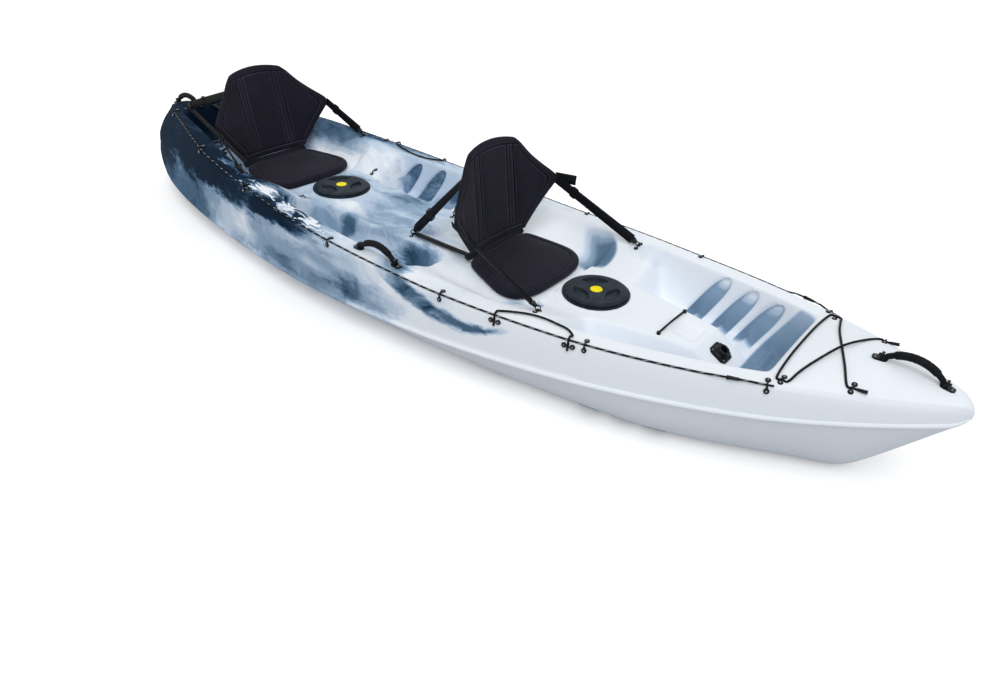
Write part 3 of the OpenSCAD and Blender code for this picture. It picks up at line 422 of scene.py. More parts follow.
# %% Small repairs with BMesh
def sharpen(mesh, degrees):
    bm = bmesh.new()
    bm.from_mesh(mesh)
    for e in bm.edges:
        e.smooth = len(e.link_faces) == 2 and e.calc_face_angle(0) < math.radians(degrees)
    bm.to_mesh(mesh)
    bm.free()


def outward(mesh):
    bm = bmesh.new()
    bm.from_mesh(mesh)
    bmesh.ops.recalc_face_normals(bm, faces=bm.faces)
    bm.to_mesh(mesh)
    bm.free()


def joined(name, meshes):
    bm = bmesh.new()
    for m in meshes:
        bm.from_mesh(m)
    mesh = bpy.data.meshes.new(name)
    bm.to_mesh(mesh)
    bm.free()
    outward(mesh)
    return mesh


# %% Rings of points joined by quads
def quads(rings, turns, base=0, closed=False, flip=False):
    faces = []
    for i in range(rings if closed else rings - 1):
        a, d = base + i * turns, base + (i + 1) % rings * turns
        for j in range(turns):
            k = (j + 1) % turns
            faces.append((a + j, d + j, d + k, a + k) if flip else (a + j, a + k, d + k, d + j))
    return faces


def far_along(points):
    return np.concatenate([[0], np.cumsum(np.linalg.norm(np.diff(points, axis=0), axis=1))])


def lay_uv(mesh, places):
    layer = mesh.uv_layers.new(name="along")
    for loop in mesh.loops:
        layer.data[loop.index].uv = places[loop.vertex_index]


# %% Sweep a section along points
def transported(points):
    t = np.gradient(points, axis=0)
    t /= np.linalg.norm(t, axis=1)[:, None]
    first = np.cross(t[0], (0, 0, 1) if abs(t[0][2]) < 0.9 else (1, 0, 0))
    sides = [unit(first)]
    for d in t[1:]:
        sides.append(unit(sides[-1] - d * np.dot(sides[-1], d)))
    sides = np.array(sides)
    return sides, np.cross(t, sides)


def sweep(name, points, radius, turns=12, closed=False):
    p = np.array(points, float)
    n = len(p)
    r = np.broadcast_to(np.array(radius, float), (n,))[:, None, None]
    a, b = transported(p)
    angle = np.arange(turns) * 2 * np.pi / turns
    cos, sin = np.cos(angle)[None, :, None], np.sin(angle)[None, :, None]
    verts = (p[:, None] + r * (cos * a[:, None] + sin * b[:, None])).reshape(-1, 3)
    faces = quads(n, turns, closed=closed)
    far = far_along(p)
    places = [(u, v) for v in far for u in angle / (2 * np.pi)]
    if not closed:
        verts = np.vstack([verts, p[0], p[-1]])
        last = (n - 1) * turns
        faces += [(n * turns, (j + 1) % turns, j) for j in range(turns)]
        faces += [(n * turns + 1, last + j, last + (j + 1) % turns) for j in range(turns)]
        places += [(0.5, far[0]), (0.5, far[-1])]
    mesh = new_mesh(name, verts, faces)
    lay_uv(mesh, places)
    return mesh


def flow(points, steps=6):
    p = [at(q) for q in points]
    out = []
    for i in range(len(p) - 1):
        near = p[max(0, i - 1)], p[i], p[i + 1], p[min(len(p) - 1, i + 2)]
        out += [spline(*near, k / steps) for k in range(steps)]
    return np.array(out + [p[-1]])


# %% [markdown]
# ## Finishes
# A finish is a small node tree. One helper adds a node and fills its sockets, either with a number
# or with what another node gives. That is wrapped in a small class, so that sums on it are written
# as sums and each operator adds its Math node. The colours are written as they look on the part, in
# sRGB, and turned into the linear values that Blender uses.

# %% Nodes, and sums that read as sums
class Val:
    def __init__(self, tree, socket):
        self.tree, self.socket = tree, socket

    def __add__(self, other):
        return maths(self.tree, "ADD", self, other)

    def __sub__(self, other):
        return maths(self.tree, "SUBTRACT", self, other)

    def __rsub__(self, other):
        return maths(self.tree, "SUBTRACT", other, self)

    def __mul__(self, other):
        return maths(self.tree, "MULTIPLY", self, other)

    def __truediv__(self, other):
        return maths(self.tree, "DIVIDE", self, other)

    def __pow__(self, other):
        return maths(self.tree, "POWER", self, other)

    def __abs__(self):
        return maths(self.tree, "ABSOLUTE", self)


def node(tree, kind, inputs=None, **settings):
    n = tree.nodes.new("ShaderNode" + kind)
    for key, value in settings.items():
        setattr(n, key, value)
    for key, value in (inputs or {}).items():
        if isinstance(value, Val):
            tree.links.new(value.socket, n.inputs[key])
        else:
            n.inputs[key].default_value = value
    return n


def maths(tree, operation, *values):
    return Val(tree, node(tree, "Math", dict(enumerate(values)), operation=operation).outputs[0])


def vectors(tree, operation, *values, out="Vector"):
    return Val(tree, node(tree, "VectorMath", dict(enumerate(values)), operation=operation).outputs[out])


# %% Helpers for masks and textures
def split(vector):
    return [Val(vector.tree, s) for s in node(vector.tree, "SeparateXYZ", {"Vector": vector}).outputs]


def spanned(value, a, b, low=0.0, high=1.0, kind="LINEAR"):
    n = node(value.tree, "MapRange", {"Value": value, "From Min": a, "From Max": b, "To Min": low,
                                      "To Max": high}, interpolation_type=kind)
    return Val(value.tree, n.outputs["Result"])


def step(value, a, b):
    return spanned(value, a, b, kind="SMOOTHSTEP")


def noise(vector, scale, detail=4.0, rough=0.55, distortion=0.0, out="Fac"):
    n = node(vector.tree, "TexNoise", {"Vector": vector, "Scale": scale, "Detail": detail,
                                       "Roughness": rough, "Distortion": distortion})
    return Val(vector.tree, n.outputs[out])


def paint(code):
    c = [int(code[i:i + 2], 16) / 255 for i in (1, 3, 5)]
    return tuple(v / 12.92 if v <= 0.04045 else ((v + 0.055) / 1.055) ** 2.4 for v in c) + (1.0,)


def ramp(value, stops, interpolation="EASE"):
    n = node(value.tree, "ValToRGB", {"Fac": value})
    n.color_ramp.interpolation = interpolation
    while len(n.color_ramp.elements) < len(stops):
        n.color_ramp.elements.new(0.5)
    for e, (pos, colour) in zip(n.color_ramp.elements, stops):
        e.position = pos
        e.color = paint(colour) if isinstance(colour, str) else (colour, colour, colour, 1)
    return Val(value.tree, n.outputs["Color"])


def mixed(fac, a, b):
    return Val(fac.tree, node(fac.tree, "MixRGB", {"Fac": fac, "Color1": a, "Color2": b}).outputs[0])


# %% Helpers for the shader
def new_finish(name, **constants):
    material = bpy.data.materials.new(name)
    material.use_nodes = True
    tree = material.node_tree
    shader = tree.nodes["Principled BSDF"]
    for key, value in constants.items():
        shader.inputs[key.replace("_", " ")].default_value = value
    place = Val(tree, node(tree, "TexCoord").outputs["Object"])
    return material, tree, shader, place


def feed(shader, name, value):
    value.tree.links.new(value.socket, shader.inputs[name])


def bump(shader, height, strength, distance):
    n = node(height.tree, "Bump", {"Height": height, "Strength": strength, "Distance": distance})
    feed(shader, "Normal", Val(height.tree, n.outputs["Normal"]))


def rough_between(shader, value, low, high):
    feed(shader, "Roughness", spanned(value, 0.0, 1.0, low, high))


finish = {}

# %% [markdown]
# ## Marbled hull plastic
# Two colours of plastic powder melt into each other in the mould, so the hull runs from white at
# the bow through grey-blue clouds to deep slate at the stern, with feathered edges. It could be
# painted by hand on a texture, but a procedural finish needs no picture and holds at any zoom. A
# noise bends the coordinates first, so that every edge after it is ragged, then the tone falls
# from bow to stern, clouds are added, and a few patches darken or whiten places along the boat;
# three small dark ones in the starboard rear footwell are painted shade. Painted shade in the foot
# scallops, the toe well and the scoops, and the pigment streak on the side, have shapes of their
# own, so each has a mask.

# %% A patch as a node group, for marbling pigment and for painted shade
def patch_group():
    group = bpy.data.node_groups.new("marble_and_shade_patch", "ShaderNodeTree")
    for name in ("Place", "Centre", "Reach"):
        group.interface.new_socket(name, in_out="INPUT", socket_type="NodeSocketVector")
    for name in ("Ragged", "Soft"):
        group.interface.new_socket(name, in_out="INPUT", socket_type="NodeSocketFloat")
    group.interface.new_socket("Mask", in_out="OUTPUT", socket_type="NodeSocketFloat")
    outputs = group.nodes.new("NodeGroupInput").outputs
    place, centre, reach, ragged, soft = (Val(group, s) for s in list(outputs)[:5])
    scaled = vectors(group, "DIVIDE", vectors(group, "SUBTRACT", place, centre), reach)
    far = vectors(group, "LENGTH", scaled, out="Value")
    feed(group.nodes.new("NodeGroupOutput"), "Mask", step(far + ragged, soft + 1.0, 0.9 - soft))
    return group


# %% Where the dark, the pale and the white lie
# The dark patches are mostly darker plastic in the marbling; the three small ones in the starboard rear
# footwell, at X 0.03, -0.10 and -0.378, are painted shade from the depth of the well.
DARK_AND_WELL_SHADE = [((-1.30, -0.33, 0.36), (0.50, 0.16, 0.125), 0.46),
        ((-0.84, -0.38, 0.315), (0.42, 0.12, 0.085), 0.48),
        ((-0.47, -0.40, 0.305), (0.24, 0.10, 0.050), 0.42),
        ((-1.75, 0.0, 0.36), (0.34, 0.40, 0.20), 0.30),
        ((-0.31, 0.05, 0.22), (0.13, 0.12, 0.06), 0.10),
        ((0.03, -0.18, 0.20), (0.10, 0.05, 0.06), 0.42),
        ((-0.10, -0.29, 0.18), (0.10, 0.08, 0.05), 0.26),
        ((-0.378, -0.165, 0.215), (0.045, 0.045, 0.05), 0.30),
        ((-0.95, 0.34, 0.32), (0.22, 0.10, 0.08), 0.26),
        ((0.03, -0.45, 0.17), (0.16, 0.07, 0.05), 0.26),
        ((-0.35, -0.45, 0.12), (0.45, 0.07, 0.04), 0.14),
        ((-1.10, -0.45, 0.10), (0.40, 0.14, 0.06), 0.12),
        ((0.72, 0.31, 0.28), (0.10, 0.06, 0.04), 0.12),
        ((0.10, 0.45, 0.22), (0.40, 0.10, 0.06), 0.45),
        ((-0.90, 0.42, 0.28), (0.50, 0.10, 0.10), 0.40)]
PALE = [((-0.72, 0.24, 0.28), (0.30, 0.12, 0.10), 0.22),
        ((-0.44, -0.10, 0.25), (0.10, 0.05, 0.05), 0.20)]
WHITE = [((-0.92, -0.31, 0.365), (0.050, 0.016, 0.03), 0.50),
         ((-0.625, -0.352, 0.341), (0.085, 0.022, 0.03), 0.78),
         ((-0.45, -0.378, 0.326), (0.060, 0.027, 0.03), 0.80),
         ((-0.31, -0.392, 0.314), (0.045, 0.018, 0.03), 0.70),
         ((-1.30, -0.27, 0.40), (0.04, 0.02, 0.03), 0.30)]
TONES = [(-1.86, 0.15), (-1.55, 0.24), (-1.25, 0.42), (-0.95, 0.56), (-0.6, 0.66), (-0.2, 0.68),
         (0.15, 0.78), (0.5, 0.87), (0.95, 0.97), (1.3, 1.0)]

# %% Painted shade in the foot scallops, the toe well and the scoops
WALL_FOOT, WALL_TOP = (-0.188, 0.404, 0.285), (-0.235, 0.535, 0.374)
TOE_FROM, TOE_TO = (1.240, 1.258), (1.40, 1.38)
SCOOP_FRONT, SCOOP_MID, SCOOP_CURVE = 0.606, 0.225, 5.5


def wall_line(x, line):
    slope, start, most = line
    return maths(x.tree, "MINIMUM", x * slope + start, most)


# Painted shade: a slate-blue tone in the foot scallops, the toe well and the scoops stands for the shade in
# these hollows, and it is darker further down the walls.
def recess_shade_mask(tree, place):
    x, y, z = split(place)
    side = abs(y)
    lean = x - (z - LEAN_FROM * MM) * SCALLOP_LEAN
    climb = spanned(z, (SCALLOP_TIP - SCALLOP_TALL) * MM, SCALLOP_TIP * MM)
    half = maths(tree, "SQRT", 1.0 - climb ** 3.0) * (SCALLOP_HALF * MM)
    scallops = 0.0
    for c in SCALLOPS:
        scallops = maths(tree, "MAXIMUM", scallops, step(abs(lean - c * MM) - half, 0.003, -0.006))
    fainter_aft = step(x, 0.0, 0.6) * 0.4 + 0.6
    scallops = scallops * step(side - wall_line(x, WALL_FOOT), -0.03, 0.03) * fainter_aft
    toe = step(lean, *TOE_FROM) * step(x, *TOE_TO) * step(z, 0.336, 0.316) * step(z, 0.11, 0.13)
    darker_below = step(z, 0.33, 0.13) * 0.25 + 0.68
    inside = step(wall_line(x, WALL_TOP) - side, -0.004, 0.008)
    wells = maths(tree, "MAXIMUM", scallops, toe) * darker_below * inside
    behind = (side - SCOOP_MID) ** 2.0 * -SCOOP_CURVE + SCOOP_FRONT - x
    scoop = step(behind, -0.006, 0.012) * step(behind, 0.17, 0.07)
    across = step(side, 0.16, 0.20) * step(side, 0.36, 0.30)
    return scoop * across * 0.8 + wells


# %% One curved streak on the starboard side
STREAK_X, STREAK_Z, STREAK_BEND = 0.42, 0.216, 0.95
STREAK_WIDE, STREAK_NARROW = (0.06, 0.040), (0.64, 0.008)


def streak_mask(place, ragged):
    x, y, z = split(place)
    along = x - STREAK_X
    off = abs(z - (along * along * STREAK_BEND + STREAK_Z))
    half = spanned(x, STREAK_WIDE[0], STREAK_NARROW[0], STREAK_WIDE[1], STREAK_NARROW[1])
    band = step(ragged * 0.020 + (off - half), 0.012, -0.010)
    return band * step(x, 0.02, 0.20) * step(x, 0.67, 0.55) * step(y, -0.34, -0.38)


# %% The marbled finish
WIDE_SWIRL, NEAR_SWIRL = (0.34, 0.22, 0.16), (0.10, 0.07, 0.05)
CLOUD_STRETCH, FEATHER_STRETCH = (0.5, 1.0, 1.0), (0.35, 1.0, 1.0)


def tone_along(x):
    low, high = TONES[0][0], TONES[-1][0]
    stops = [((pos - low) / (high - low), tone) for pos, tone in TONES]
    return ramp(spanned(x, low, high), stops, "LINEAR")


def patched(tone, place, rows, sign, edge, soft, group):
    for centre, reach, weight in rows:
        patch = node(tone.tree, "Group", node_tree=group)
        feed(patch, "Place", place)
        feed(patch, "Ragged", edge)
        for name, value in (("Centre", centre), ("Reach", reach), ("Soft", soft)):
            patch.inputs[name].default_value = value
        tone = Val(tone.tree, patch.outputs["Mask"]) * (sign * weight) + tone
    return tone


def hull_finish():
    material, tree, shader, place = new_finish("marbled_polyethylene", Specular_IOR_Level=0.03)
    swirl = vectors(tree, "SUBTRACT", noise(place, 2.6, 4.0, 0.55, 0.5, "Color"), (0.5, 0.5, 0.5))
    wide, near = (vectors(tree, "MULTIPLY_ADD", swirl, s, place) for s in (WIDE_SWIRL, NEAR_SWIRL))
    x = split(wide)[0]
    clouds = noise(vectors(tree, "MULTIPLY", wide, CLOUD_STRETCH), 4.2, 6.0, 0.56, 0.9)
    busy = spanned(x, 0.85, -0.25, 0.05, 1.15, "SMOOTHSTEP")
    tone = (clouds - 0.49) * busy + tone_along(x)
    feathers = vectors(tree, "MULTIPLY", place, FEATHER_STRETCH)
    coarse, fine = (noise(feathers, scale, 6.0, 0.62, 0.9) for scale in (13.0, 42.0))
    ragged = (coarse - 0.5) * 1.5 + (fine - 0.5) * 1.5
    edge = ragged * 0.7
    group = patch_group()
    tone = patched(tone, near, DARK_AND_WELL_SHADE, -1.0, edge, 0.4, group)
    tone = patched(tone, near, PALE, 1.0, edge, 0.4, group)
    tone = patched(tone, near, WHITE, 1.0, (fine - 0.5) * 5.0 + edge, 0.25, group)
    tone = streak_mask(near, ragged) * (coarse * -1.1 + 0.03) + tone
    # Painted shade of the hollows, laid over the marbling.
    tone = recess_shade_mask(tree, place) * -0.6 + tone
    feed(shader, "Base Color", ramp(tone, [(0.0, "#0f2133"), (0.16, "#1e3349"), (0.34, "#506d88"),
                                           (0.52, "#90a9c2"), (0.68, "#c4d5e8"), (0.88, "#eff5fc")]))
    rough_between(shader, noise(place, 9.0, 3.0), 0.68, 0.84)
    bump(shader, noise(place, 420.0, 3.0, 0.5), 0.5, 0.0012)
    return material


finish["hull_plastic"] = hull_finish()
print("hull finish:", len(finish["hull_plastic"].node_tree.nodes), "nodes")

# %% [markdown]
# ## Black plastics, rubber and steel
# Fittings are moulded nylon: nearly black, with a fine grain that breaks up the shine. The hatch
# lids are a touch greyer and duller, the grips are soft and dull, and the screw heads are dull
# steel. All of them are the same small tree with other numbers, so one function makes them.

# %% Moulded finishes
def moulded(name, dark, light, grain, low, high, **constants):
    material, tree, shader, place = new_finish(name, **constants)
    feed(shader, "Base Color", ramp(noise(place, 24.0), [(0.3, dark), (0.72, light)]))
    rough_between(shader, noise(place, 60.0, 3.0), low, high)
    bump(shader, noise(place, grain, 2.0), 0.25, 0.0003)
    return material


DULL = 0.08
for slot, name, dark, light, grain, low, high, shine in (
        ("black_plastic", "moulded_nylon", "#0b0c0f", "#16181c", 900.0, 0.3, 0.46, 0.16),
        ("hatch_plastic", "hatch_plastic", "#192129", "#28323c", 700.0, 0.4, 0.55, DULL),
        ("disc_plastic", "yellow_disc", "#f6dd00", "#fff000", 500.0, 0.35, 0.5, DULL),
        ("seal_rubber", "seal_rubber", "#141414", "#202020", 800.0, 0.6, 0.75, DULL),
        ("grip_rubber", "grip_rubber", "#0d0e12", "#181a1f", 1100.0, 0.45, 0.62, DULL)):
    finish[slot] = moulded(name, dark, light, grain, low, high, Specular_IOR_Level=shine)
finish["screw_steel"] = moulded("screw_steel", "#6d7177", "#979ba1", 600.0, 0.24, 0.42, Metallic=1.0)
print("moulded finishes:", len(finish) - 1)

# %% [markdown]
# ## Cloth and cord finishes
# Seat fabric is a plain weave under a dull coating: two fine waves crossed at right angles make
# the threads, and a slow noise fades the colour where it has been rubbed. The mesh marks the seams
# with an attribute; painted shade darkens the seam crease and a painted highlight lightens its
# flanks. Webbing has ribs across its width. The deck line is black with white flecks, which sit on
# a slanting grid along its UV.

# %% Seat fabric
def seat_fabric():
    material, tree, shader, place = new_finish("seat_fabric", Sheen_Weight=0.06, Sheen_Roughness=0.5,
                                               Specular_IOR_Level=0.1)
    threads = []
    for axis in ("Y", "Z"):
        wave = node(tree, "TexWave", {"Vector": place, "Scale": 260.0, "Distortion": 0.6, "Detail": 1.0},
                    wave_type="BANDS", bands_direction=axis)
        threads.append(Val(tree, wave.outputs["Fac"]))
    weave = maths(tree, "MAXIMUM", *threads)
    fade = noise(place, 7.0, 6.0, 0.6, 0.4)
    seam = Val(tree, node(tree, "Attribute", attribute_name="seam").outputs["Fac"])
    # Painted shade in the seam crease, and a painted highlight on the flanks beside it.
    flank_highlight = step(seam, 0.02, 0.14) * step(seam, 0.55, 0.3)
    tone = weave * 0.16 + fade * 0.7 + flank_highlight * 0.3 - step(seam, 0.5, 0.8) * 0.5
    feed(shader, "Base Color", ramp(tone, [(0.0, "#06060a"), (0.2, "#12111c"), (0.5, "#1b1a27"),
                                           (0.85, "#353245")]))
    rough_between(shader, fade, 0.62, 0.82)
    bump(shader, weave, 0.3, 0.0004)
    return material


# %% Webbing, bungee and flecked line
def along_finish(name, dark, light, pitch, slant, fleck=None):
    material, tree, shader, place = new_finish(name, Specular_IOR_Level=DULL)
    u, v, _ = split(Val(tree, node(tree, "TexCoord").outputs["UV"]))
    rib = maths(tree, "PINGPONG", u * slant + v / pitch, 0.5)
    colour = ramp(rib * 0.7 + noise(place, 18.0) * 0.6, [(0.1, dark), (0.8, light)])
    if fleck:
        spot = maths(tree, "LESS_THAN", maths(tree, "FRACT", u * 2.0 + v / fleck), 0.1)
        side = maths(tree, "LESS_THAN", maths(tree, "FRACT", u * 2.0), 0.4)
        colour = mixed(spot * side, colour, paint("#dfe2e6"))
    feed(shader, "Base Color", colour)
    rough_between(shader, rib, 0.7, 0.5)
    bump(shader, rib, 0.5, 0.0004)
    return material


finish["seat_fabric"] = seat_fabric()
finish["webbing"] = along_finish("webbing", "#090a0c", "#191b20", 0.0022, 6.0)
finish["bungee_cord"] = along_finish("bungee_cord", "#0c0d0f", "#24262b", 0.006, 3.0)
finish["line_cord"] = along_finish("flecked_line", "#0b0c0e", "#1f2126", 0.005, 3.0, fleck=0.04)
print("finishes:", sorted(finish))

# %% [markdown]
# ## Deck lines and bungees
# These cords are threaded through eyes and pulled tight, so they need no simulation: the route is
# the one the eyes give. Each is a smooth curve through the same points as in the CAD, swept into a
# round tube.

# %% Routes round the gunwale
LINE_D, BUNGEE_D = 6.0, 7.0
RAIL_EYES = [-1590, -1095, -705, -172, 360, 882, 1385]
LOCK_X, LOCK_LIFT, LINE_TAIL = 1300, 5.0, 45


def line_lift(x):
    lift = LOCK_LIFT * between(at(x), LOCK_X - 40, LOCK_X + 40, 40) + rise(-at(x), 1450, 1600)
    return float(lift)


def line_pt(x, side):
    lift = line_lift(x)
    return rail_pt(x, side) + (lift - 1.4) * rail_out(x, side) + at((0, 0, lift - 2.8))


def line_route(side):
    xs = np.concatenate([[RAIL_EYES[-1] + 17], np.arange(RAIL_EYES[-1], RAIL_EYES[0] - LINE_TAIL, -22.0),
                         [RAIL_EYES[0] - LINE_TAIL]])
    return np.array([line_pt(float(x), side) for x in xs])


# %% Routes of the bungees
BOW_EYES = [1410, 1575]
TANK_EYES = [(-1400, 74), (-1250, 108)]
CORD_UP, CORD_CLIMB = 3.4, 0.14


def bow_eye(i):
    return (BOW_EYES[i], num(gunwale_y, BOW_EYES[i]) - 30)


def through(e, side, dx):
    return eye_pt(e, side) + at((dx, 0, 0)) + (CORD_UP + CORD_CLIMB * abs(dx)) * deck_up(e[0], side * e[1])


bow_route = (
    [through(bow_eye(1), 1, d) for d in (24, 0, -16)]
    + [over_deck(*p) for p in ((1530, 86, 5), (1494, 0, 11), (1456, -100, 6), (1438, -166, 7))]
    + [through(bow_eye(0), -1, d) for d in (16, 0, -16)]
    + [over_deck(*p) for p in ((1388, -120, 6), (1387, 0, 6), (1388, 120, 6))]
    + [through(bow_eye(0), 1, d) for d in (-16, 0, 16)]
    + [over_deck(*p) for p in ((1438, 166, 7), (1456, 100, 5), (1494, 0, 4.2), (1530, -86, 5))]
    + [through(bow_eye(1), -1, d) for d in (-16, 0, 24)])
tank_route = (
    [through(TANK_EYES[1], 1, d) for d in (24, 0, -16)]
    + [over_deck(*p) for p in ((-1288, 56, 9), (-1325, 0, 11), (-1360, -42, 9))]
    + [through(TANK_EYES[0], -1, d) for d in (16, 0, -14)]
    + [over_deck(-1424, 0, 5)]
    + [through(TANK_EYES[0], 1, d) for d in (-14, 0, 16)]
    + [over_deck(*p) for p in ((-1360, 42, 5), (-1325, 0, 4.2), (-1288, -56, 5))]
    + [through(TANK_EYES[1], -1, d) for d in (-16, 0, 24)])

# %% Routes of the paddle keepers and the console bungee
KEEPER_DOWN = 21.0


def side_lean(x):
    out = (num(chine_y, x) - num(gunwale_y, x)) / 3 + num(bulge, x)
    return math.atan(out / ((num(gunwale_z, x) - num(chine_z, x)) / 3 - CREASE_DROP))


def side_pt(x, side, down, off):
    out = off + (down - CREASE_DROP) * math.tan(side_lean(x))
    return rail_pt(x, side) - at((0, 0, down)) + out * rail_out(x, side)


def up_side(x, side):
    g = num(gunwale_y, x)
    steps = ((KEEPER_DOWN + 14, 5), (KEEPER_DOWN, 4.3), (KEEPER_DOWN - 12, 5.4), (-3, 5.4), (-8, -3))
    return [side_pt(x, side, *s) for s in steps] + [over_deck(x, side * (g - 18), 6)]


def keeper_route(ends, middles, side):
    middle = [over_deck(x, side * y, 6) for x, y in middles]
    return up_side(ends[0], side) + middle + up_side(ends[1], side)[::-1]


port_keeper = keeper_route((-640, -390), [(-600, 358), (-545, 350), (-485, 352), (-430, 368)], 1)
starboard_keeper = keeper_route((577, 832), [(620, 374), (666, 354), (716, 346), (760, 348),
                                             (800, 352)], -1)
CONSOLE_X, CONSOLE_HALF, BUTTON_R, BUTTON_H, CONSOLE_ARCH = 972, 88, 6.5, 9.0, 3.0
console_z = num(deck_z, CONSOLE_X, CONSOLE_HALF) + 0.3 + BUTTON_H / 2
console_route = []
for t in np.linspace(-1, 1, 33):
    arch = CONSOLE_ARCH * (1 - t * t) if abs(t) < 0.82 else 0
    console_route.append(at((CONSOLE_X, (CONSOLE_HALF + BUTTON_R + 1) * t, console_z + arch)))

def lay_cord(name, route, diameter, slot):
    path = np.array(route) * MM
    obj = show(name + "_cord", sweep(name, path, diameter * MM / 2), "boat", slot)
    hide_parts(name)


for side, word in SIDES:
    lay_cord("deck_line_" + word, line_route(side), LINE_D, "line_cord")
lay_cord("bow_bungee", flow(bow_route), BUNGEE_D, "bungee_cord")
lay_cord("tank_bungee", flow(tank_route), BUNGEE_D, "bungee_cord")
lay_cord("paddle_bungee_port", flow(port_keeper), BUNGEE_D, "bungee_cord")
lay_cord("paddle_bungee_starboard", flow(starboard_keeper), BUNGEE_D, "bungee_cord")
lay_cord("console_bungee", console_route, BUNGEE_D, "bungee_cord")

# %% [markdown]
# ## The hull
# The CAD hull is a coarse loft. Here the same lines are sampled about every 12 mm, with a ring of
# points round each station: keel, bottom, the raised bead along the chine, the side, the crease
# and the deck. Joining ring to ring gives clean quads that follow the flow of the boat. The hatch
# holes and the scuppers are then cut with Boolean cylinders.

# %% Stations and rings
END_STEPS = np.array([0, 2, 5, 9, 14, 20, 28, 37, 47, 58, 70, 83])
stations = np.unique(np.round(np.concatenate([
    -HALF_LEN + END_STEPS, np.arange(-HALF_LEN + 95, -580, 12), np.arange(-580, -160, 7),
    np.arange(-160, 860, 12), np.arange(860, 1340, 7), np.arange(1340, HALF_LEN - 95, 12),
    HALF_LEN - END_STEPS]), 1))
BEAD = [(0.5, -2.5), (3.5, -3.0), (5.8, -0.8), (6.4, 3.0), (5.6, 7.0), (3.2, 10.0), (1.0, 12.5)]


def side_curve(x, t):
    c, g, cz, gz, k = chine_y(x), gunwale_y(x), chine_z(x), gunwale_z(x), blunt(x)
    b = bulge(x)
    ys = [c, mix(c, g, 1 / 3) + b, mix(c, g, 2 / 3) + b, g]
    zs = [cz, mix(cz, gz, 1 / 3), mix(cz, gz, 2 / 3), gz - CREASE_DROP * k]
    i = min(2, int(t * 3))

    def along(v):
        p = [2 * v[0] - v[1]] + v + [2 * v[3] - v[2]]
        return spline(*p[i:i + 4], t * 3 - i)
    return along(ys), along(zs)


def deck_columns(x):
    g, e, r = gunwale_y(x), rail_in(x), ridge_y(x)
    s, w, q = np.minimum(20, 0.06 * g), np.minimum(50, 0.15 * g), np.minimum(8, 0.1 * g)
    keys = [g - q, mix(g, e, 0.55), e, e - w / 3, e - 2 * w / 3, e - w, mix(e - w, r + s, 0.3),
            mix(e - w, r + s, 0.65), r + s, r, r - s, 0.6 * r, 0.3 * r, 0 * r]
    out = []
    for i, (a, b) in enumerate(zip(keys, keys[1:])):
        n = 8 if 2 <= i <= 4 else 4
        out += [mix(a, b, k / n) for k in range(n)]
    return out + [keys[-1]]


def half_ring(x):
    c, k = chine_y(x), blunt(x)
    pts = [(s * c, bottom_z(x, s)) for s in np.linspace(0, 0.985, 22)]
    side = [side_curve(x, t) for t in np.linspace(0.10, 1, 12)]
    pts += [(c + o * k, chine_z(x) + up * k) for o, up in BEAD]
    cols = deck_columns(x)
    crease = (cols[0], shown_deck_z(x, cols[0]))
    last = side[-1]
    bevel = [tuple(mix(a, b, t) for a, b in zip(last, crease)) for t in (0.3, 0.65)]
    return pts + side + bevel + [(y, shown_deck_z(x, y)) for y in cols]


# %% Hull skin
def hull_mesh():
    half = half_ring(stations)
    y = np.array([p[0] for p in half]).T
    z = np.array([p[1] for p in half]).T
    x = raked(stations[:, None], z)
    on_deck = np.arange(y.shape[1]) >= y.shape[1] - len(deck_columns(stations))
    y = y + np.where(on_deck, SCALLOP_DEEP * scallop(x, y, z), 0)
    port = np.stack([x, y, z], axis=2)
    starboard = port[:, -2:0:-1] * at((1, -1, 1))
    rings = np.concatenate([port, starboard], axis=1) * MM
    n, m = rings.shape[:2]
    verts = rings.reshape(-1, 3).tolist()
    faces = quads(n, m, flip=True)
    for i, turn in ((0, 1), (n - 1, -1)):
        verts.append(rings[i].mean(axis=0).tolist())
        faces += [(len(verts) - 1, i * m + j, i * m + (j + 1) % m)[::turn] for j in range(m)]
    return new_mesh("hull_skin", verts, faces)


hull = show("hull_skin", hull_mesh(), None, "hull_plastic")
outward(hull.data)
print("hull skin:", len(hull.data.vertices), "points")

# %% Holes through the hull
SCUPPERS = [(1010, 190), (-210, 270), (-1330, 70)]
SCUPPER_R, HATCH_HOLE_R = 17.0, 98.0


def cutter(name, x, y, z, radius, height):
    bm = bmesh.new()
    bmesh.ops.create_cone(bm, cap_ends=True, segments=64, radius1=radius * MM, radius2=radius * MM,
                          depth=height * MM)
    bmesh.ops.translate(bm, verts=bm.verts, vec=(x * MM, y * MM, z * MM))
    mesh = bpy.data.meshes.new(name)
    bm.to_mesh(mesh)
    bm.free()
    obj = bpy.data.objects.new(name, mesh)
    scene.collection.objects.link(obj)
    return obj


cutters = [cutter("scupper_hole", x, s * y, 200, SCUPPER_R, 500) for x, y in SCUPPERS for s in (-1, 1)]
for x in HATCHES.values():
    cutters.append(cutter("hatch_hole", x, 0, num(deck_z, x, 0), HATCH_HOLE_R, 120))
for c in cutters:
    cut = hull.modifiers.new("cut", "BOOLEAN")
    cut.object, cut.operation, cut.solver = c, "DIFFERENCE", "EXACT"
bpy.context.view_layer.update()
holed = bpy.data.meshes.new_from_object(hull.evaluated_get(bpy.context.evaluated_depsgraph_get()))
hull.modifiers.clear()
hull.data = holed
for c in cutters:
    bpy.data.objects.remove(c)
sharpen(hull.data, 50)
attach(hull, "boat")
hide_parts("hull")
print("hull with holes:", len(hull.data.polygons), "faces")

# %% [markdown]
# ## Finishing the CAD fittings
# Pad eyes, hatch rings, plates and screws are already the right shape in the CAD, so they stay. A
# weld joins the points that the file format splits, and a fine bevel rounds the edges, as the mould
# does, so that they catch the light. Both are modifiers: the CAD mesh isn't changed.

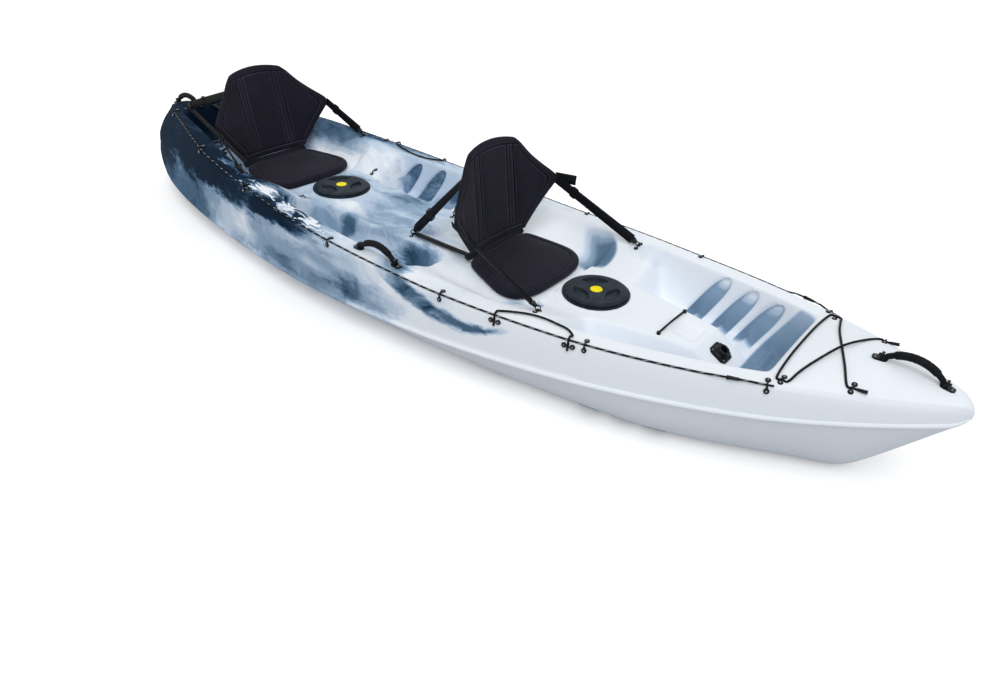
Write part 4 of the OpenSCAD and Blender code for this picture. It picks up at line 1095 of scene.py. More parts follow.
# %% Weld, bevel and material on the CAD nodes
KEPT = {0: ["front_hatch_seal", "rear_hatch_seal", "drain_seal"],
        0.35: ["eye_screws", "accessory_screws", "handle_screws"],
        0.5: ["front_hatch_cap", "rear_hatch_cap", "deck_line_locks"],
        0.6: ["gunwale_eyes_port", "gunwale_eyes_starboard", "seat_anchor_eyes", "bow_bungee_eyes",
              "tank_bungee_eyes", "paddle_bungee_eyes", "spare_eyes", "bow_bungee_ends"],
        0.8: ["front_hatch_ring", "rear_hatch_ring", "console_bungee_ends", "drain_bung"],
        1.0: ["handle_plates"]}
slot_of = {s["node"]: s["material_slot"] for s in frame["record"]["subparts"]}


def finish_node(name, width):
    obj = nodes[name]
    obj.data.materials.clear()
    obj.data.materials.append(finish[slot_of[name]])
    weld = obj.modifiers.new("weld", "WELD")
    weld.merge_threshold = 0.00002
    if width:
        edge = obj.modifiers.new("edge", "BEVEL")
        edge.width, edge.segments = width * MM, 2
        edge.limit_method, edge.angle_limit = "ANGLE", math.radians(40)
        edge.harden_normals = True


for width, names in KEPT.items():
    for name in names:
        finish_node(name, width)
print("finished CAD nodes:", sum(len(names) for names in KEPT.values()))

# %% [markdown]
# ## Hatch lids
# A lid is turned by hand, so three lens-shaped finger hollows are sunk into it round a hub. They
# could be cut with Booleans, but soft rims are easier as a height over the disc: rings and spokes
# of points, lowered inside each lens and lifted a little along its lip.

# %% Height over the lid
LID_R, LID_T, LID_BASE = 110.0, 9.0, 8.2
LENS_AT, LENS_LONG, LENS_WIDE, LENS_DEEP, HUB_R = 61.0, 47.0, 21.0, 8.0, 22.0
LENS_TURNS = {"front": 5.0, "rear": 28.0}
STEP_IN, STEP_OUT, STEP_DOWN, EDGE_DOWN = 97, 101, 1.2, 3.2
LENS_LIP, HUB_DOWN = 1.1, 1.6


def lens_edge(r, angle, turn):
    a = angle - math.radians(turn)
    u, w = r * np.sin(a), r * np.cos(a) - LENS_AT
    reach = LENS_WIDE * np.clip(1 - (u / LENS_LONG) ** 2, 0, 1)
    return np.where(np.abs(u) < LENS_LONG, reach - np.abs(w), -9.0)


def lid_top(r, angle, first):
    z = LID_T - STEP_DOWN * rise(r, STEP_IN, STEP_OUT) - EDGE_DOWN * rise(r, STEP_OUT, LID_R) + 0 * angle
    for turn in (first, first + 120, first + 240):
        e = lens_edge(r, angle, turn)
        z = z - LENS_DEEP * rise(e, -0.5, 3.5) + LENS_LIP * bell(e, -1.6, 1.8) * (e > -8)
    return z - HUB_DOWN * (1 - rise(r, HUB_R - 1, HUB_R))


# %% Lids
def lid_mesh(first):
    spokes = np.arange(180) * 2 * np.pi / 180
    radii = np.concatenate([np.linspace(2, HUB_R - 2, 5), [HUB_R - 1, HUB_R - 0.5, HUB_R],
                            np.linspace(24, 96, 49), [97, 98, 99, 100, 101, 103, 106, 108.5, LID_R]])
    r, a = np.meshgrid(radii, spokes, indexing="ij")
    top = np.stack([r * np.cos(a), r * np.sin(a), lid_top(r, a, first)], axis=2)
    skirt = np.stack([r[-1] * np.cos(spokes), r[-1] * np.sin(spokes), 0 * spokes], axis=1)[None]
    rings = np.concatenate([top, skirt])
    n, m = rings.shape[:2]
    verts = np.vstack([rings.reshape(-1, 3), (0, 0, num(lid_top, 0, 0, first)), (0, 0, 0)]) * MM
    faces = quads(n, m, flip=True)
    faces += [(n * m, j, (j + 1) % m) for j in range(m)]
    faces += [(n * m + 1, (n - 1) * m + (j + 1) % m, (n - 1) * m + j) for j in range(m)]
    return new_mesh("lid", verts, faces)


for word, x in HATCHES.items():
    mesh = lid_mesh(LENS_TURNS[word])
    mesh.transform(Matrix.Translation((x * MM, 0, (num(deck_z, x, 0) + LID_BASE) * MM)))
    obj = show(word + "_screw_lid", mesh, word + "_lid", "hatch_plastic")
    sharpen(obj.data, 50)
    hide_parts(word + "_hatch_lid")
print("lids:", list(HATCHES))

# %% [markdown]
# ## Accessory mount
# The mount is a square plate with cut corners and a round socket that a rod holder or a light is
# pushed into. Plate and collar are one turned or extruded outline each, so they are built from
# their profiles and rounded with a bevel, and the socket stays open.

# %% Plate and collar
MOUNT_X, PLATE_HALF, PLATE_CUT, PLATE_T = 1150.0, 34.0, 12.0, 6.0
COLLAR = [(28, 6), (25, 8), (22.5, 11), (21.5, 20), (20, 22), (14, 22), (12.7, 20.7), (12.7, 4), (0.5, 4)]


def lathe(name, profile, turns=64):
    a = np.arange(turns) * 2 * np.pi / turns
    rings = np.array([[(r * math.cos(t), r * math.sin(t), z) for t in a] for r, z in profile])
    return new_mesh(name, rings.reshape(-1, 3) * MM, quads(len(profile), turns))


def plate_mesh():
    h, c = PLATE_HALF, PLATE_HALF - PLATE_CUT
    outline = [(h, -c), (h, c), (c, h), (-c, h), (-h, c), (-h, -c), (-c, -h), (c, -h)]
    verts = [(x * MM, y * MM, z * MM) for z in (0, PLATE_T) for x, y in outline]
    return new_mesh("plate", verts, quads(2, 8) + [tuple(range(7, -1, -1)), tuple(range(8, 16))])


bm = bmesh.new()
bm.from_mesh(plate_mesh())
off_the_deck = [e for e in bm.edges if max(v.co.z for v in e.verts) > 0]
bmesh.ops.bevel(bm, geom=off_the_deck, offset=1.6 * MM, segments=3, affect="EDGES")
bm.from_mesh(lathe("collar", COLLAR))
mesh = bpy.data.meshes.new("socket_mount")
bm.to_mesh(mesh)
bm.free()
mesh.transform(frame_at(over_deck(MOUNT_X, 0, 0.3), deck_up(MOUNT_X, 0), (1, 0, 0)))
obj = show("socket_mount", mesh, "boat", "black_plastic")
sharpen(obj.data, 35)
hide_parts("accessory_mount")
print("mount with", len(mesh.polygons), "faces")

# %% [markdown]
# ## Seats
# Each seat is a foam pad and a winged back, both sewn from panels. A subdivided block would look
# like a block, so each starts as a grid that follows the cut of the cloth, with rows and columns
# laid along the seams. The seams are then held still while a short cloth simulation blows the
# panels up against them, which gives the soft swelling and small wrinkles of stuffed fabric. How
# far a point may move is capped, and the seams are pressed in afterwards.

# %% Sizes of the seats
PAD_LEN, PAD_HALF, PAD_T = 287.0, 216.0, 33.5
BACK_H, WING_HALF, WING_FWD, BACK_T = 384.0, 285.0, 78.0, 26.0
FOLD_R, FOLD_H, FOLD_HALF, PAD_GAP = 14.0, 26.0, 158.0, 0.4
BACK_FOOT = FOLD_R + 0.5
TOP_DROP, TOP_HALF = 26.0, 140.0
BACK_ROWS = [(0, 150), (0.04, 162), (0.40, 272), (0.45, 284), (0.50, 284), (0.55, 270), (0.66, 232),
             (0.80, 187), (0.92, 155), (0.965, 140), (1, 117)]
SEAM_IN, SEAM_OUT, HEM, WING_HEM = 74.0, 104.0, 26.0, 38.0
SEATS = {"front": (232.0, 6.0), "rear": (-1018.0, 14.0)}


def floor_z(x):
    return float(row(x, FLOOR_ROWS))


def floor_tilt(x):
    return math.atan((floor_z(x) - floor_z(x + 200)) / 200)


def fold_axis(x):
    a = floor_tilt(x)
    return at((x + FOLD_H * math.sin(a), 0, floor_z(x) + PAD_GAP + FOLD_H * math.cos(a)))


def tilted(p, degrees):
    return Matrix.Translation(Vector(p) * MM) @ Matrix.Rotation(math.radians(degrees), 4, "Y")


def wing_w(v):
    return smooth_row(v, BACK_ROWS, 0.025)


def bend(y):
    return WING_FWD * (np.abs(y) / WING_HALF) ** 2.2


def back_z(v, y):
    return BACK_FOOT + v * (BACK_H - BACK_FOOT) - TOP_DROP * v ** 4 * (np.abs(y) / TOP_HALF) ** 2


print("front fold line at", np.round(fold_axis(SEATS["front"][0])))

# %% Rows and columns laid along the seams
def spread(keys, step):
    out = []
    for a, b in zip(keys, keys[1:]):
        n = max(1, round((b - a) / step))
        out += [a + (b - a) * i / n for i in range(n)]
    return out + [keys[-1]]


SEAM_STEPS = (-4.0, -1.6, 0.0, 1.6, 4.0)
back_rows_mm = spread(sorted([0, BACK_H - BACK_FOOT, 3, BACK_H - BACK_FOOT - 3]
                             + [HEM + s for s in SEAM_STEPS]
                             + [BACK_H - BACK_FOOT - HEM + s for s in SEAM_STEPS]), 7.0)
levels = np.array(back_rows_mm) / (BACK_H - BACK_FOOT)


def back_columns(v):
    w = float(wing_w(v))
    seams = (min(SEAM_IN, 0.6 * w), min(SEAM_OUT, 0.82 * w))
    hem = w - min(WING_HEM, 0.45 * (w - seams[1]))
    keys = [seams[0] * k / 10 for k in range(9)]
    keys += [seams[0] + s for s in SEAM_STEPS] + [sum(seams) / 2]
    keys += [seams[1] + s for s in SEAM_STEPS[:-1]]
    last = keys[-1]
    keys += [last + (hem - 1.6 - last) * k / 16 for k in range(1, 17)] + [hem, hem + 1.6]
    last = keys[-1]
    keys += [last + (w - last) * k / 5 for k in range(1, 6)]
    return np.array(keys), seams, hem


# %% The back as a grid, before it is stuffed
def back_grid():
    points, held, groove = [], [], []
    tall = BACK_H - BACK_FOOT
    for v in levels:
        y, seams, hem = back_columns(v)
        w = y[-1]
        edge = np.minimum(np.minimum(v, 1 - v) * tall, w - y)
        half = 3 + (BACK_T / 2 - 5) * np.sqrt(np.clip(edge / 30, 0, 1))
        in_hem = np.minimum(np.abs(min(v, 1 - v) * tall - HEM), np.abs(y - hem))
        past = (min(v, 1 - v) * tall < HEM - 2) | (y > hem + 2)
        seam = np.minimum(np.minimum(np.abs(y - seams[0]), np.abs(y - seams[1])), in_hem)
        seam = np.where(past, in_hem, seam)
        points.append(np.stack([bend(y), y, back_z(v, y), half], axis=1))
        held.append((seam < 2) | (edge < 2))
        groove.append(bell(seam, 0, 2.8) * np.clip(edge / 8, 0, 1))
    return np.array(points), np.array(held), np.array(groove)


def mirrored(a, flip=1):
    return np.concatenate([a[:, :0:-1] * flip, a], axis=1)


def back_mesh():
    p, held, groove = back_grid()
    whole = mirrored(p, at((1, -1, 1, 1)))
    n, m = whole.shape[:2]
    middle, half = whole[:, :, :3], whole[:, :, 3:] * at((1, 0, 0))
    verts = np.concatenate([(middle + half).reshape(-1, 3), (middle - half).reshape(-1, 3)]) * MM
    faces = []
    for i in range(n - 1):
        for j in range(m - 1):
            a, b, c, d = i * m + j, i * m + j + 1, (i + 1) * m + j + 1, (i + 1) * m + j
            faces += [(a, b, c, d), (n * m + d, n * m + c, n * m + b, n * m + a)]
    rim = list(range(m)) + [i * m + m - 1 for i in range(1, n)]
    rim += [(n - 1) * m + j for j in range(m - 2, -1, -1)] + [i * m for i in range(n - 2, 0, -1)]
    for a, b in zip(rim, rim[1:] + rim[:1]):
        faces.append((b, a, n * m + a, n * m + b))
    held, groove = (np.tile(mirrored(rows).ravel(), 2) for rows in (held, groove))
    return new_mesh("seat_back", verts, faces), held, groove


# %% The pad as rings, before it is stuffed
PAD_PROFILE = [(0.0, 0.0), (0.3, 0.0), (0.6, 0.0), (0.8, 0.0), (0.9, 0.0), (0.955, 0.03),
               (0.985, 0.14), (1.0, 0.32), (1.0, 0.5), (0.99, 0.66), (0.97, 0.79), (0.945, 0.87),
               (0.915, 0.915), (0.885, 0.93),
               (0.862, 0.93), (0.85, 0.925), (0.84, 0.92), (0.83, 0.925), (0.818, 0.93), (0.79, 0.94),
               (0.74, 0.945), (0.68, 0.95), (0.6, 0.95), (0.5, 0.95), (0.4, 0.95), (0.3, 0.95),
               (0.2, 0.95), (0.1, 0.95), (0.0, 0.95)]
PAD_TURNS, PAD_SEAM, PAD_AFT = 112, 0.84, FOLD_R - 6
FRONT_CORNER, AFT_CORNER, AFT_WIDTH = 2 / 3.4, 2 / 7.0, 0.80


def pad_edge(a):
    corner = np.where(np.cos(a) > 0, FRONT_CORNER, AFT_CORNER)
    u = np.sign(np.cos(a)) * np.abs(np.cos(a)) ** corner
    s = np.sign(np.sin(a)) * np.abs(np.sin(a)) ** corner
    return mix(PAD_AFT, PAD_LEN, (1 + u) / 2), PAD_HALF * s * mix(AFT_WIDTH, 1, rise(u, -1, 0.5))


def pad_mesh():
    a = np.arange(PAD_TURNS) * 2 * np.pi / PAD_TURNS
    ex, ey = pad_edge(a)
    mid = (PAD_AFT + PAD_LEN) / 2
    verts, held, groove = [], [], []
    for r, h in PAD_PROFILE:
        ring = np.stack([mid + r * (ex - mid), r * ey, np.full_like(a, h * PAD_T)], axis=1)
        ring = ring[:1] if r == 0 else ring
        verts += ring.tolist()
        held += [h < 0.2 or abs(r - PAD_SEAM) < 0.005] * len(ring)
        groove += [bell(r, PAD_SEAM, 0.014) if h > 0.6 else 0.0] * len(ring)
    n, t = len(PAD_PROFILE) - 2, PAD_TURNS
    faces = [(0, 1 + (j + 1) % t, 1 + j) for j in range(t)] + quads(n, t, base=1)
    top = 1 + (n - 1) * t
    faces += [(top + j, top + (j + 1) % t, len(verts) - 1) for j in range(t)]
    return new_mesh("seat_pad", np.array(verts) * MM, faces), np.array(held), np.array(groove)


# %% Stuff a sewn mesh with a cloth simulation
PRESSURE, FRAMES = 4.0, 20


def stuffed(mesh, held, groove, cap, press):
    obj = bpy.data.objects.new("stuffing", mesh)
    scene.collection.objects.link(obj)
    rest = np.array([v.co for v in mesh.vertices])
    pins = obj.vertex_groups.new(name="held")
    pins.add(np.flatnonzero(held).tolist(), 1.0, "REPLACE")
    cloth = obj.modifiers.new("stuffing", "CLOTH").settings
    cloth.use_pressure, cloth.uniform_pressure_force = True, PRESSURE
    cloth.effector_weights.gravity = 0
    cloth.vertex_group_mass = "held"
    cloth.tension_stiffness = cloth.compression_stiffness = 12
    cloth.bending_stiffness = 0.4
    for f in range(1, FRAMES + 1):
        scene.frame_set(f)
    swollen = obj.evaluated_get(bpy.context.evaluated_depsgraph_get()).to_mesh()
    moved = np.array([v.co for v in swollen.vertices]) - rest
    size = np.linalg.norm(moved, axis=1, keepdims=True)
    rest = rest + moved * np.minimum(1, cap * MM / np.maximum(size, 1e-9))
    obj.modifiers.clear()
    scene.frame_set(1)
    print("stuffed: moved up to", round(float(size.max()) * 1000, 1), "mm, capped at", cap)
    mesh.vertices.foreach_set("co", rest.ravel())
    mesh.update()
    inward = np.array([v.normal for v in mesh.vertices])
    mesh.vertices.foreach_set("co", (rest - inward * (groove * press * MM)[:, None]).ravel())
    mesh.update()
    bpy.data.objects.remove(obj)
    mesh.attributes.new("seam", "FLOAT", "POINT").data.foreach_set("value", np.asarray(groove, np.float32))


# %% Stuff both pieces once
back_shape, back_held, back_groove = back_mesh()
outward(back_shape)
stuffed(back_shape, back_held, back_groove, cap=6.0, press=5.0)
pad_shape, pad_held, pad_groove = pad_mesh()
outward(pad_shape)
stuffed(pad_shape, pad_held, pad_groove, cap=4.5, press=5.0)
print("back:", len(back_shape.vertices), "points; pad:", len(pad_shape.vertices), "points")

# %% Place pads, backs, bindings and fold bands
BIND_R, BAND_R, BAND_SEAM, BAND_DEPTH = 3.6, 12.9, 128, 0.66


def binding_path():
    v = np.linspace(0.012, 0.988, 60)
    w = np.array([float(wing_w(k)) for k in v]) - BIND_R * 0.6
    port = np.stack([bend(w), w, back_z(v, w)], axis=1)
    top = [at((bend(y), y, back_z(v[-1], y) + 1.5)) for y in np.linspace(w[-1], -w[-1], 26)[1:-1]]
    foot = [at((bend(y), y, back_z(v[0], y) + 1.0)) for y in np.linspace(-w[0], w[0], 26)[1:-1]]
    return np.concatenate([port, top, (port * at((1, -1, 1)))[::-1], foot])


def fold_band_mesh():
    y = np.concatenate([[-FOLD_HALF, -FOLD_HALF + 2], np.linspace(-FOLD_HALF + 6, FOLD_HALF - 6, 60),
                        [FOLD_HALF - 2, FOLD_HALF]])
    full = np.interp(FOLD_HALF - np.abs(y), [0, 2, 6], [0.86, 0.96, 1.0])
    full = full - 0.10 * bell(np.abs(y), BAND_SEAM, 2.4)
    mesh = sweep("fold_band", np.stack([0 * y, y, 0 * y], axis=1) * MM, BAND_R * MM * full, turns=28)
    for v in mesh.vertices:
        x, z = v.co.x / MM, v.co.z / MM
        a, r = math.atan2(z, x), math.hypot(x, z)
        box = 1 / max(abs(math.cos(a)) / BAND_DEPTH, abs(math.sin(a)))
        r = r * min(1.0, 0.35 + 0.65 * box)
        v.co.x, v.co.z = r * math.cos(a) * MM, r * math.sin(a) * MM
    return mesh


def seat_piece(name, mesh, matrix, body, node_name):
    mesh = mesh.copy()
    mesh.transform(matrix)
    obj = show(name, mesh, body, "seat_fabric")
    if node_name:
        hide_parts(node_name)
    return obj


def subdivide(obj):
    fine = obj.modifiers.new("fine", "SUBSURF")
    fine.levels = fine.render_levels = 1


for word, (x, recline) in SEATS.items():
    on_floor = tilted((x, 0, floor_z(x) + PAD_GAP), math.degrees(floor_tilt(x)))
    on_fold = tilted(fold_axis(x), -recline)
    subdivide(seat_piece(word + "_seat_cushion", pad_shape, on_floor, "boat",
                         word + "_seat_pad"))
    subdivide(seat_piece(word + "_seat_winged_back", back_shape, on_fold, word + "_back",
                         word + "_seat_back"))
    seat_piece(word + "_seat_binding", sweep("binding", binding_path() * MM, BIND_R * MM, closed=True),
               on_fold, word + "_back", None)
    seat_piece(word + "_seat_fold_band", fold_band_mesh(), tilted(fold_axis(x), -45), "boat",
               word + "_seat_hinge")

# %% [markdown]
# ## Seat webbing
# Straps run from the wings to eyes on the deck, stays hold the back from behind, and two lower
# straps hold the fold. Webbing is flat and stiff across its width, so a cloth simulation would
# only crumple it. Each strap is a thin strip with rounded edges instead. A stay has no points
# between the back and its adjuster, so that part of it is always straight.

# %% Places that the straps join
STRAP_W, STRAP_T, LOWER_W = 36.0, 3.0, 24.0
LINK_R, LINK_TUBE, LINK_H, HOOK_LEN, HOOK_HALF_T = 9.0, 2.0, 13.2, 30.0, 4.4
SIDE_EYE = {"front": (657, 310), "rear": (-800, 322)}
STAY_EYE = {"front": (-65, 116), "rear": (-1572, 50)}
LOWER_Y = FOLD_HALF - 20
WING_UP, NAPE_UP, NAPE_Y = 0.47, 0.78, 50
SEWN = HOOK_LEN - 3


def on_back(word, p):
    x, recline = SEATS[word]
    c, s = math.cos(math.radians(recline)), math.sin(math.radians(recline))
    return fold_axis(x) + at((p[0] * c - p[2] * s, p[1], p[0] * s + p[2] * c))


def wing_pt(word, side):
    return on_back(word, (WING_FWD - 12, side * (WING_HALF + STRAP_T / 2 + 0.5), WING_UP * BACK_H))


def nape_pt(word, side):
    return on_back(word, (-BACK_T / 2 - 1.5, side * NAPE_Y, NAPE_UP * BACK_H))


def link_pt(e, side):
    return eye_pt(e, side) + LINK_H * deck_up(e[0], side * e[1])


def towards(a, b, s):
    return a + s * unit(b - a)


# %% A strip of webbing
def strip_points(line, faces, width, thick):
    p = np.array(line)
    t = np.gradient(p, axis=0)
    t /= np.linalg.norm(t, axis=1)[:, None]
    far = far_along(p)
    n = mix(at(faces[0]), at(faces[1]), ease(far / far[-1])[:, None])
    n = n - t * (t * n).sum(axis=1)[:, None]
    n /= np.linalg.norm(n, axis=1)[:, None]
    w = np.cross(n, t)
    e, h = width / 2, thick / 2
    section = [(-e + h * 0.6, -h), (e - h * 0.6, -h), (e, -h * 0.3), (e, h * 0.3), (e - h * 0.6, h),
               (-e + h * 0.6, h), (-e, h * 0.3), (-e, -h * 0.3)]
    return np.stack([p + a * w + b * n for a, b in section], axis=1)


def webbing_mesh(name, lines, looks, width, thick):
    verts, faces, places = [], [], []
    for line in lines:
        rings = strip_points(line, looks, width, thick)
        n, m = rings.shape[:2]
        base, last = len(verts), len(verts) + (n - 1) * m
        verts += (rings.reshape(-1, 3) * MM).tolist()
        places += [(u, v) for v in far_along(np.array(line)) * MM for u in (0, 1, 1, 1, 1, 0, 0, 0)]
        faces += quads(n, m, base)
        faces += [tuple(range(base + m - 1, base - 1, -1)), tuple(range(last, last + m))]
    mesh = new_mesh(name, verts, faces)
    lay_uv(mesh, places)
    outward(mesh)
    sharpen(mesh, 60)
    return mesh


def straight(a, b, n=22):
    return [mix(a, b, t) for t in np.linspace(0, 1, n)]


# %% Side straps and stays
def across_joint(obj, on_boat, on_seat):
    tuple(on_boat * MM)
    tuple(on_seat * MM)
    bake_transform(obj)


def strap(name, lines, looks, on_boat, on_seat, node_name):
    obj = show(name, webbing_mesh(name, lines, looks, STRAP_W, STRAP_T), None, "webbing")
    across_joint(obj, on_boat, on_seat)
    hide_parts(node_name)


STAY_LOOKS = ((-0.75, -0.65, 0.3), (-0.15, -0.95, 0.1))
STAY_FREE, STAY_ADJUST, STRAP_ADJUST = 0.66, 0.68, 0.2
for word in SEATS:
    for side, way in SIDES:
        a, hook = wing_pt(word, side), link_pt(SIDE_EYE[word], side)
        b = towards(hook, a, SEWN)
        lines = [straight(a, b)]
        if (word, way) == ("front", "port"):
            d = unit(unit(hook - a) + at((0, 0.1, 0.42)))
            lines.append(straight(a + at((2, 4, 3)), a + 86 * d + at((0, 4, 3)), 8))
        looks = ((0, 1, 0), (0, 1, -0.25)) if side > 0 else ((0.2, 0.8, 0.42), (0.1, 0.8, 0.3))
        strap(f"{word}_seat_webbing_{way}", lines, looks, b, a, f"{word}_seat_strap_{way}")
        a, hook = nape_pt(word, side), link_pt(STAY_EYE[word], side)
        b = towards(hook, a, SEWN)
        held = mix(a, b, STAY_FREE)
        strap(f"{word}_seat_stay_web_{way}", [[a] + straight(held, b, 8)], STAY_LOOKS, held, a,
              f"{word}_seat_stay_{way}")

# %% Lower straps
for word, (x, recline) in SEATS.items():
    lines = []
    for side in (-1, 1):
        e = STAY_EYE[word]
        yaw = math.atan((LOWER_Y - e[1]) / (x - e[0]))
        a = fold_axis(x) + at((-FOLD_R - 0.4 - LOWER_W / 2 * math.sin(yaw), side * LOWER_Y, 0))
        lines.append(straight(a, towards(link_pt(e, side), a, LINK_R + LINK_TUBE + 1.2), 14))
    mesh = webbing_mesh("lower", lines, [(0, 0, 1)] * 2, LOWER_W, STRAP_T)
    obj = show(word + "_seat_lower_web", mesh, "boat", "webbing")
    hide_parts(word + "_seat_lower_straps")

# %% [markdown]
# ## Hooks and buckles
# A snap hook is a ring with a tapered plastic body that the webbing is sewn into, and an adjuster
# is a frame with a bar. A block would do from afar, but a short loft of rounded sections and a few
# swept bars give the real outlines.

# %% Snap hooks
HOOK_BODY = np.array([(LINK_R - 2, 4.0), (LINK_R, 6.5), (13, 8.5), (18, 11.0), (23, 13.4), (28, 13.9),
                      (HOOK_LEN, 13.2)])


def circle_points(c, a, b, r, n=28):
    t = np.arange(n) * 2 * np.pi / n
    return c + r * (np.cos(t)[:, None] * a + np.sin(t)[:, None] * b)


def hook_meshes(e, side, to, face=None):
    up = deck_up(e[0], side * e[1])
    c = link_pt(e, side)
    d = unit(to - c)
    n = unit(up - d * np.dot(up, d))
    ring = sweep("ring", circle_points(c, d, n, LINK_R) * MM, LINK_TUBE * MM, closed=True, turns=14)
    body = sweep("body", (c + HOOK_BODY[:, :1] * d) * MM, HOOK_BODY[:, 1] * MM, turns=24)
    if face:
        n = unit(at(face) - d * np.dot(face, d))
    across = np.cross(n, d)
    for v in body.vertices:
        q = np.array(v.co) / MM - c
        w, h = np.dot(q, across), np.dot(q, n)
        r = math.hypot(w, h)
        h = max(-HOOK_HALF_T, min(HOOK_HALF_T, h))
        v.co = (c + np.dot(q, d) * d + w * across + h * n) * MM if r > 0.01 else v.co
    return [ring, body]


for word in SEATS:
    made = []
    for side in (-1, 1):
        made += hook_meshes(SIDE_EYE[word], side, wing_pt(word, side))
        made += hook_meshes(STAY_EYE[word], side, nape_pt(word, side), STAY_LOOKS[1])
    mesh = joined(word + "_seat_snap_hooks", made)
    obj = show(word + "_seat_snap_hooks", mesh, "boat", "black_plastic")
    sharpen(obj.data, 45)
    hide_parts(word + "_seat_hooks")

# %% Adjusters on the straps
BUCKLE_L, BUCKLE_BAR = 30.0, 2.3


def buckle_mesh(a, b, face, t):
    d = unit(b - a)
    n = unit(at(face) - d * np.dot(face, d))
    w = np.cross(n, d)
    c = mix(a, b, t) + d * BUCKLE_L / 2
    long, wide, corner = BUCKLE_L / 2 - BUCKLE_BAR, STRAP_W / 2 + 3.0, 5.0
    loop = []
    for k, (i, j) in enumerate(((1, 1), (-1, 1), (-1, -1), (1, -1))):
        for q in np.linspace(0, math.pi / 2, 5):
            ang = k * math.pi / 2 + q
            loop.append(c + d * (i * (long - corner) + corner * math.cos(ang))
                        + w * (j * (wide - corner) + corner * math.sin(ang)))
    parts = [sweep("frame", np.array(loop) * MM, BUCKLE_BAR * MM, closed=True, turns=12)]
    for off in (-long * 0.35, long * 0.35):
        bar = [c + d * off + w * s * wide + n * 2.6 for s in (-1, -0.5, 0, 0.5, 1)]
        parts.append(sweep("bar", np.array(bar) * MM, 2.0 * MM, turns=10))
    return parts


for word in SEATS:
    for side, way in SIDES:
        for kind, a, eye, face, t in (
                ("strap", wing_pt(word, side), SIDE_EYE[word], (0, side, 0), STRAP_ADJUST),
                ("stay", nape_pt(word, side), STAY_EYE[word], STAY_LOOKS[1], STAY_ADJUST)):
            hook = link_pt(eye, side)
            mesh = joined("adjuster", buckle_mesh(a, hook, face, t))
            body = "boat" if kind == "stay" else None
            obj = show(f"{word}_seat_{kind}_adjuster_{way}", mesh, body, "black_plastic")
            if kind == "strap":
                across_joint(obj, towards(hook, a, SEWN), a)
            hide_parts(word + "_seat_buckles")
print("hooks and adjusters made")

# %% [markdown]
# ## Carry handles
# Each grip is an arch on two pins, grooved so that wet hands hold it. The arch could be a curve
# with a bevel object, but the thickness changes along it, so it is one sweep whose radius follows
# the moulding: a neck at each pin, a swelling to the full grip, and shallow grooves across it.

# %% The grooved grip
HANDLE_SPAN, HANDLE_RISE, PIVOT_H, GRIP_R, NECK_R = 150.0, 30.0, 15.0, 12.0, 8.6
ARCH_R = ((HANDLE_SPAN / 2 + 1) ** 2 + HANDLE_RISE ** 2) / (2 * HANDLE_RISE)
CORE_ANGLE = math.degrees(math.asin((HANDLE_SPAN / 2 + 1) / ARCH_R)) - 2
KNUCKLE_R, KNUCKLE_HALF, GROOVE_PITCH, GROOVE_DEEP = 8.5, 6.3, 7.2, 0.7
BOW_FEET, STERN_FEET, SIDE_GRIP_X, SIDE_GRIP_AT = (1597, 1773), (-1566, -1780), 40, (0, -0.040, 0.0005)


def grip_mesh():
    a = np.linspace(-CORE_ANGLE, CORE_ANGLE, 150)
    swell = 1 - rise(np.abs(a), 29.0, 33.0)
    crown = 1 - 0.08 * (a / CORE_ANGLE) ** 2
    half_pitch = GROOVE_PITCH / 2
    groove = bell(np.mod(np.abs(a) + half_pitch, GROOVE_PITCH), half_pitch, 0.6) * (np.abs(a) < 20)
    radius = NECK_R + (GRIP_R * crown - NECK_R) * swell - GROOVE_DEEP * groove
    t = np.radians(a)
    arch = np.stack([ARCH_R * np.sin(t), 0 * t, PIVOT_H + HANDLE_RISE - ARCH_R + ARCH_R * np.cos(t)], axis=1)
    parts = [sweep("arch", arch * MM, radius * MM, turns=24)]
    for s in (-1, 1):
        x = s * HANDLE_SPAN / 2 + np.array([-1, -0.9, -0.6, 0.6, 0.9, 1]) * KNUCKLE_HALF
        r = KNUCKLE_R - np.array([1.6, 0.5, 0, 0, 0.5, 1.6])
        parts.append(sweep("knuckle", np.stack([x, 0 * x, 0 * x + PIVOT_H], axis=1) * MM, r * MM, turns=24))
    return joined("grip", parts)


def handle_frame(xs):
    a, b = over_deck(xs[0], 0, -SINK), over_deck(xs[1], 0, -SINK)
    return frame_at((a + b) / 2, (0, 0, 1) - unit(b - a) * unit(b - a)[2], b - a)


HANDLES = {"bow": handle_frame(BOW_FEET), "stern": handle_frame(STERN_FEET)}
for side, way in SIDES:
    HANDLES[way] = rail_frame(SIDE_GRIP_X, side) @ Matrix.Translation(SIDE_GRIP_AT)
for word, matrix in HANDLES.items():
    mesh = grip_mesh()
    mesh.transform(matrix)
    obj = show(word + "_carry_grip", mesh, word + "_handle", "grip_rubber")
    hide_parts(word + "_handle_grip")
print("grips:", len(HANDLES))

# %% [markdown]
# ## Floor and light
# The photograph has a bare white ground. Area lamps close by would leave the far floor grey, so the
# light is two broad suns, which reach everywhere alike, and a pale world. Together they light a
# level surface about as bright as its colour is written. To the camera the floor is white; to the
# boat it is a greyer one, so that the underside stays in shade as it does in the photograph.

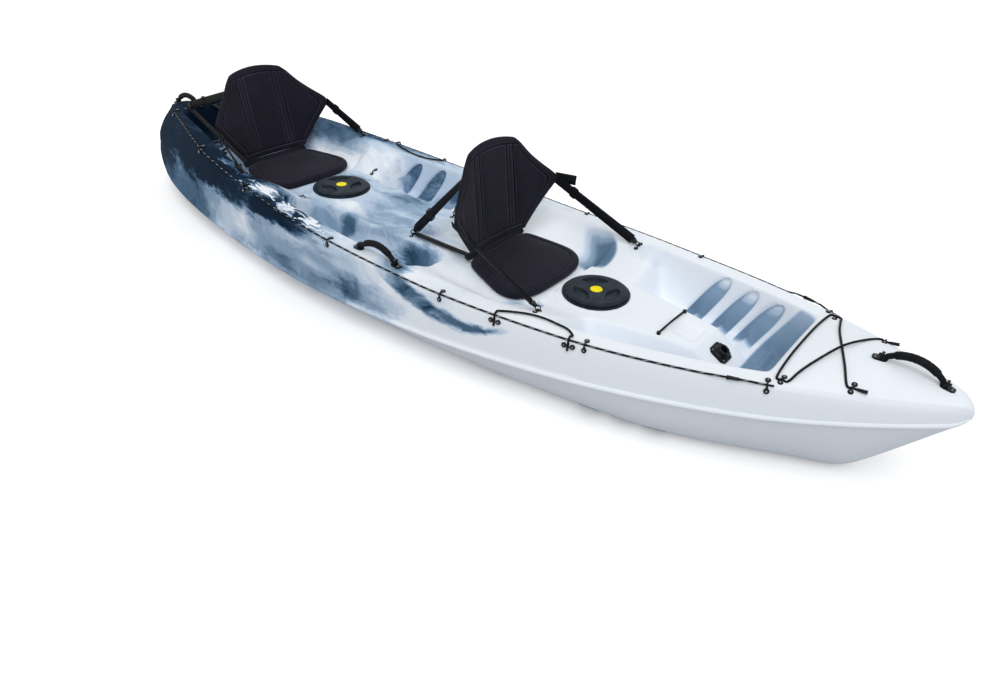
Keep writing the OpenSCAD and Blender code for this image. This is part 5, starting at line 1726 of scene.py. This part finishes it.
# %% What the camera sees and what the boat sees
def seen_directly(tree):
    path = node(tree, "LightPath").outputs
    camera_ray, glossy, transmission = (
        Val(tree, path[name]) for name in ("Is Camera Ray", "Is Glossy Ray", "Is Transmission Ray"))
    return maths(tree, "MAXIMUM", maths(tree, "MAXIMUM", camera_ray, glossy), transmission)


# %% Floor and world
FLOOR_HALF, FLOOR_DOWN, FLOOR_GLOW, WORLD_LIGHT = 30.0, -0.0005, 0.22, 0.5
FLOOR_TO_BOAT, FLOOR_TO_CAMERA = (0.5, 0.51, 0.53, 1), (0.97, 0.97, 0.97, 1)
corners = [(x * FLOOR_HALF, y * FLOOR_HALF, FLOOR_DOWN) for x, y in ((-1, -1), (1, -1), (1, 1), (-1, 1))]
floor_mesh = new_mesh("floor", corners, [(0, 1, 2, 3)])
floor = bpy.data.objects.new("floor", floor_mesh)
scene.collection.objects.link(floor)
material, tree, shader, place = new_finish("pale_floor", Roughness=0.9, Specular_IOR_Level=0.0)
feed(shader, "Base Color", mixed(seen_directly(tree), FLOOR_TO_BOAT, FLOOR_TO_CAMERA))
shader.inputs["Emission Color"].default_value = (1, 1, 1, 1)
feed(shader, "Emission Strength", seen_directly(tree) * FLOOR_GLOW)
floor_mesh.materials.append(material)
floor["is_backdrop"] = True

world = bpy.data.worlds.new("studio")
scene.world = world
world.use_nodes = True
background = world.node_tree.nodes["Background"]
background.inputs["Color"].default_value = (1, 1, 1, 1)
feed(background, "Strength", seen_directly(world.node_tree) * (1 - WORLD_LIGHT) + WORLD_LIGHT)


# %% Two broad suns
def sun(name, towards_light, spread, strength):
    data = bpy.data.lights.new(name, "SUN")
    data.angle, data.energy = math.radians(spread), strength
    obj = bpy.data.objects.new(name, data)
    obj.rotation_euler = (-Vector(towards_light)).to_track_quat("-Z", "Y").to_euler()
    scene.collection.objects.link(obj)


sun("key", (0.5, -0.8, 1.35), 50, 1.45)
sun("back", (-0.8, 0.7, 1.0), 60, 0.45)

# %% Size of the dressed boat
low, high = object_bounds()
print("visual box", [round(v, 3) for v in low], [round(v, 3) for v in high])
